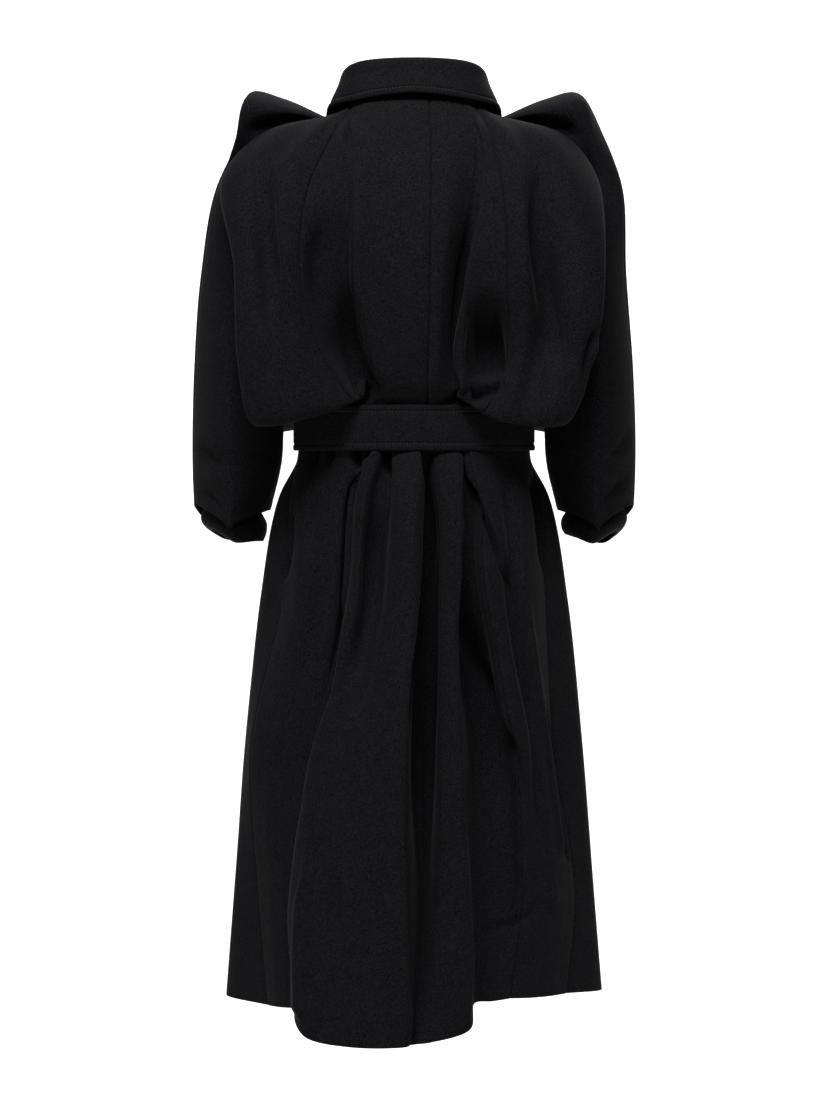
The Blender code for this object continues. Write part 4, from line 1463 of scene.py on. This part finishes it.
@dataclass(frozen=True)
class Collar:
    """A stand round the neck and a fall that turns down over it."""

    cloth: float = 4.0
    stand_cloth: float = 3.0
    stand_drop: float = 13.0
    stand_in: float = 1.0
    stations: tuple = (
        CollarStation((0, -64, 20), (0, -66, 58), (0, -84, 14)),
        CollarStation((-58, -53, 14.5), (-67, -48, 56), (-78, -63, 7)),
        CollarStation((-92, -9, -4), (-81, -4, 49), (-105, -14, 5)),
        CollarStation((-79, 36, -26), (-66, 42, 16), (-99, 46, -24)),
        CollarStation((-3, 76, -62), (-5, 77, -26), (-42, 117, -92)),
    )
    turns: tuple = (CollarTurn(0, -9, -8), CollarTurn(0, -5.4, -1), CollarTurn(0, 0, 0.5),
                    CollarTurn(0, 6.8, -4), CollarTurn(0.38, 3, 0), CollarTurn(0.7, 2, 0),
                    CollarTurn(1, 0, 0))
    station_steps: tuple = (14, 14, 14, 18)
    turn_steps: tuple = (4, 4, 5, 6, 6, 18)
    stand_steps: int = 8
    stitch_line: float = 7.0
    welt: float = 0.9
    groove: float = 1.0

    def lines(self) -> list:
        """Draws the collar's lines round the neck.

        Returns:
            The base, the fold and the edge, from the wearer's left front round the back to the right.
        """
        made = []
        for which in range(len(CollarStation._fields)):
            half = through(np.array([station[which] for station in self.stations]), self.station_steps,
                           before=np.array(self.stations[1][which]) * (-1, 1, 1))
            made.append(np.concatenate([half[::-1], half[1:] * (-1, 1, 1)]))
        return made

    def build(self, finish: bpy.types.Material, thread: bpy.types.Material) -> None:
        """Makes and dresses the stand, the fall and the row of stitches along its edge.

        Args:
            finish: The cloth's material.
            thread: The thread's material.
        """
        base, fold, edge = self.lines()
        up = np.array((0, 0, 1.0))
        out = unit((fold - fold.mean(axis=0)) * (1, 1, 0))
        top = fold - up * self.stand_drop - out * self.stand_in
        stand = np.stack([top + (base - top) * t for t in np.linspace(0, 1, self.stand_steps + 1)])
        free = Sewn(None, None)
        ClothPiece("collar_stand", stand, normals_of(stand), self.stand_cloth, free).build(finish)
        lines = [fold + (edge - fold) * turn.share + out * turn.out + up * turn.up for turn in self.turns]
        fall = through(np.stack(lines), self.turn_steps)
        from_edge = lengths_along(fall[::-1])[::-1]
        fall = topstitched(fall, from_edge, self.stitch_line, self.welt, self.groove)
        nearest = np.abs(from_edge - self.stitch_line).argmin(axis=0)
        Topstitch("collar_topstitch").build([fall[nearest, np.arange(fall.shape[1])]], thread)
        ClothPiece("collar_fall", fall, normals_of(fall), self.cloth, free, held="folded",
                   rests_on=("collar_stand",)).build(finish)


@dataclass(frozen=True)
class Belt:
    """A self belt round the waist whose end laps over its start at the front."""

    waist: Waist = Waist()
    cloth: float = 4.5
    ease: float = 1.2
    lap: float = 110.0
    lap_gap: float = 0.8
    steps: int = 288
    rows: int = 52
    stitch_line: float = 7.0
    welt: float = 0.5
    groove: float = 1.1

    def build(self, finish: bpy.types.Material, thread: bpy.types.Material) -> None:
        """Makes and dresses the belt and its two rows of stitches.

        Args:
            finish: The cloth's material.
            thread: The thread's material.
        """
        waist = self.waist
        lap = math.degrees(self.lap / waist.half_width)
        start = -QUARTER_TURN
        end = start + FULL_TURN
        turns = np.linspace(start - lap / 2, end + lap / 2, self.steps + 1)
        over = smooth_step((turns - (end - lap)) / (lap / 2))
        out = self.ease + self.cloth + (self.cloth + self.lap_gap) * over
        drops = np.linspace(0, waist.belt_width, self.rows + 1)
        grid = np.array([[waist.point(turn, waist.belt_top - drop, more) for turn, more in zip(turns, out)]
                         for drop in drops])
        from_edge = np.minimum(drops, waist.belt_width - drops)[:, None] * np.ones(len(turns))
        grid = topstitched(grid, from_edge, self.stitch_line, self.welt, self.groove)
        rows = [int(round(self.stitch_line / waist.belt_width * self.rows))]
        rows.append(self.rows - rows[0])
        Topstitch("belt_topstitch").build([grid[row] for row in rows], thread)
        ClothPiece("belt", grid, normals_of(grid), self.cloth, Sewn(None, None), held="stretched",
                   rests_on=("back_left", "back_right", "front_left", "front_right")).build(finish)


# Studio


class Lamp(NamedTuple):
    """A soft box: where it stands, what it points at, its width and height in metres, and its power."""

    name: str
    place: tuple
    aim: tuple
    size: tuple
    watts: float


@dataclass(frozen=True)
class Studio:
    """White paper sweep, soft boxes and the camera of the photograph."""

    camera_place: tuple = (0.0, -3.0, -0.529)
    focal_px: float = 2467.0
    floor_height: float = -1.55
    sweep_back: float = 2.6
    sweep_radius: float = 1.2
    sweep_steps: int = 12
    sweep_half_width: float = 7.0
    sweep_front: float = -7.0
    sweep_top: float = 5.0
    surround: float = 0.12
    lamps: tuple = (
        Lamp("key", (-0.35, -1.8, 2.3), (0, 0, -0.5), (1.7, 1.1), 121.0),
        Lamp("backdrop", (0, 1.5, 2.0), (0, 3.8, -0.9), (1.8, 0.8), 120.0),
        Lamp("far_side", (1.1, 1.7, 1.5), (0, 0, -0.5), (1.4, 1.0), 26.0),
    )

    def build(self) -> None:
        """Sets up the whole studio."""
        self.build_camera()
        self.build_sweep()
        self.build_light()

    def build_camera(self) -> None:
        """Makes the camera that sees the coat as the photograph does."""
        data = bpy.data.cameras.new("photo_camera")
        data.sensor_fit = "VERTICAL"
        data.lens = self.focal_px / PHOTO_HEIGHT_PX * data.sensor_height
        camera = put("photo_camera", data)
        camera.location = self.camera_place
        camera.rotation_euler = (math.pi / 2, 0, 0)
        bpy.context.scene.camera = camera

    def build_sweep(self) -> None:
        """Makes the floor that bends up into a backdrop."""
        r = self.sweep_radius
        profile = [(self.sweep_front, self.floor_height)]
        for a in np.linspace(0, math.pi / 2, self.sweep_steps + 1):
            profile.append((self.sweep_back + r * math.sin(a), self.floor_height + r * (1 - math.cos(a))))
        profile.append((self.sweep_back + r, self.sweep_top))
        points = [(x, y, z) for x in (-self.sweep_half_width, self.sweep_half_width) for y, z in profile]
        n = len(profile)
        faces = [(i, i + n, i + n + 1, i + 1) for i in range(n - 1)]
        mesh = bpy.data.meshes.new("studio_sweep")
        mesh.from_pydata(points, [], faces)
        mesh.shade_smooth()
        mesh.materials.append(StudioPaper().material())
        sweep = put("studio_sweep", mesh)

    def build_light(self) -> None:
        """Sets the pale surround and the soft boxes."""
        world = bpy.data.worlds.new("studio_surround")
        world.use_nodes = True
        join(world.node_tree, world.node_tree.nodes["Background"],
             {"Color": (1, 1, 1, 1), "Strength": self.surround})
        bpy.context.scene.world = world
        bpy.context.scene.view_settings.view_transform = "Standard"
        for lamp in self.lamps:
            data = bpy.data.lights.new(lamp.name, "AREA")
            data.shape = "RECTANGLE"
            data.size, data.size_y = lamp.size
            data.energy = lamp.watts
            made = put(lamp.name, data)
            made.location = lamp.place
            toward = np.array(lamp.aim) - np.array(lamp.place)
            tip = math.pi / 2 + math.atan2(toward[2], math.hypot(toward[0], toward[1]))
            made.rotation_euler = (tip, 0, math.atan2(-toward[0], toward[1]))
            made.visible_camera = False


def main() -> None:
    """Builds the studio and every piece of the coat."""
    logging.basicConfig(level=logging.INFO, format="%(name)s: %(message)s")
    for name in STARTUP_OBJECTS:
        old = bpy.data.objects.get(name)
        if old is not None:
            bpy.data.objects.remove(old)
    Studio().build()
    wool = MilledWool().material()
    edges = CoatBody().build(wool)
    for side in Side:
        Sleeve(side).build(edges[side], wool)
    thread = SewingThread().material()
    Collar().build(wool, thread)
    Belt().build(wool, thread)


if __name__ == "__main__":
    main()
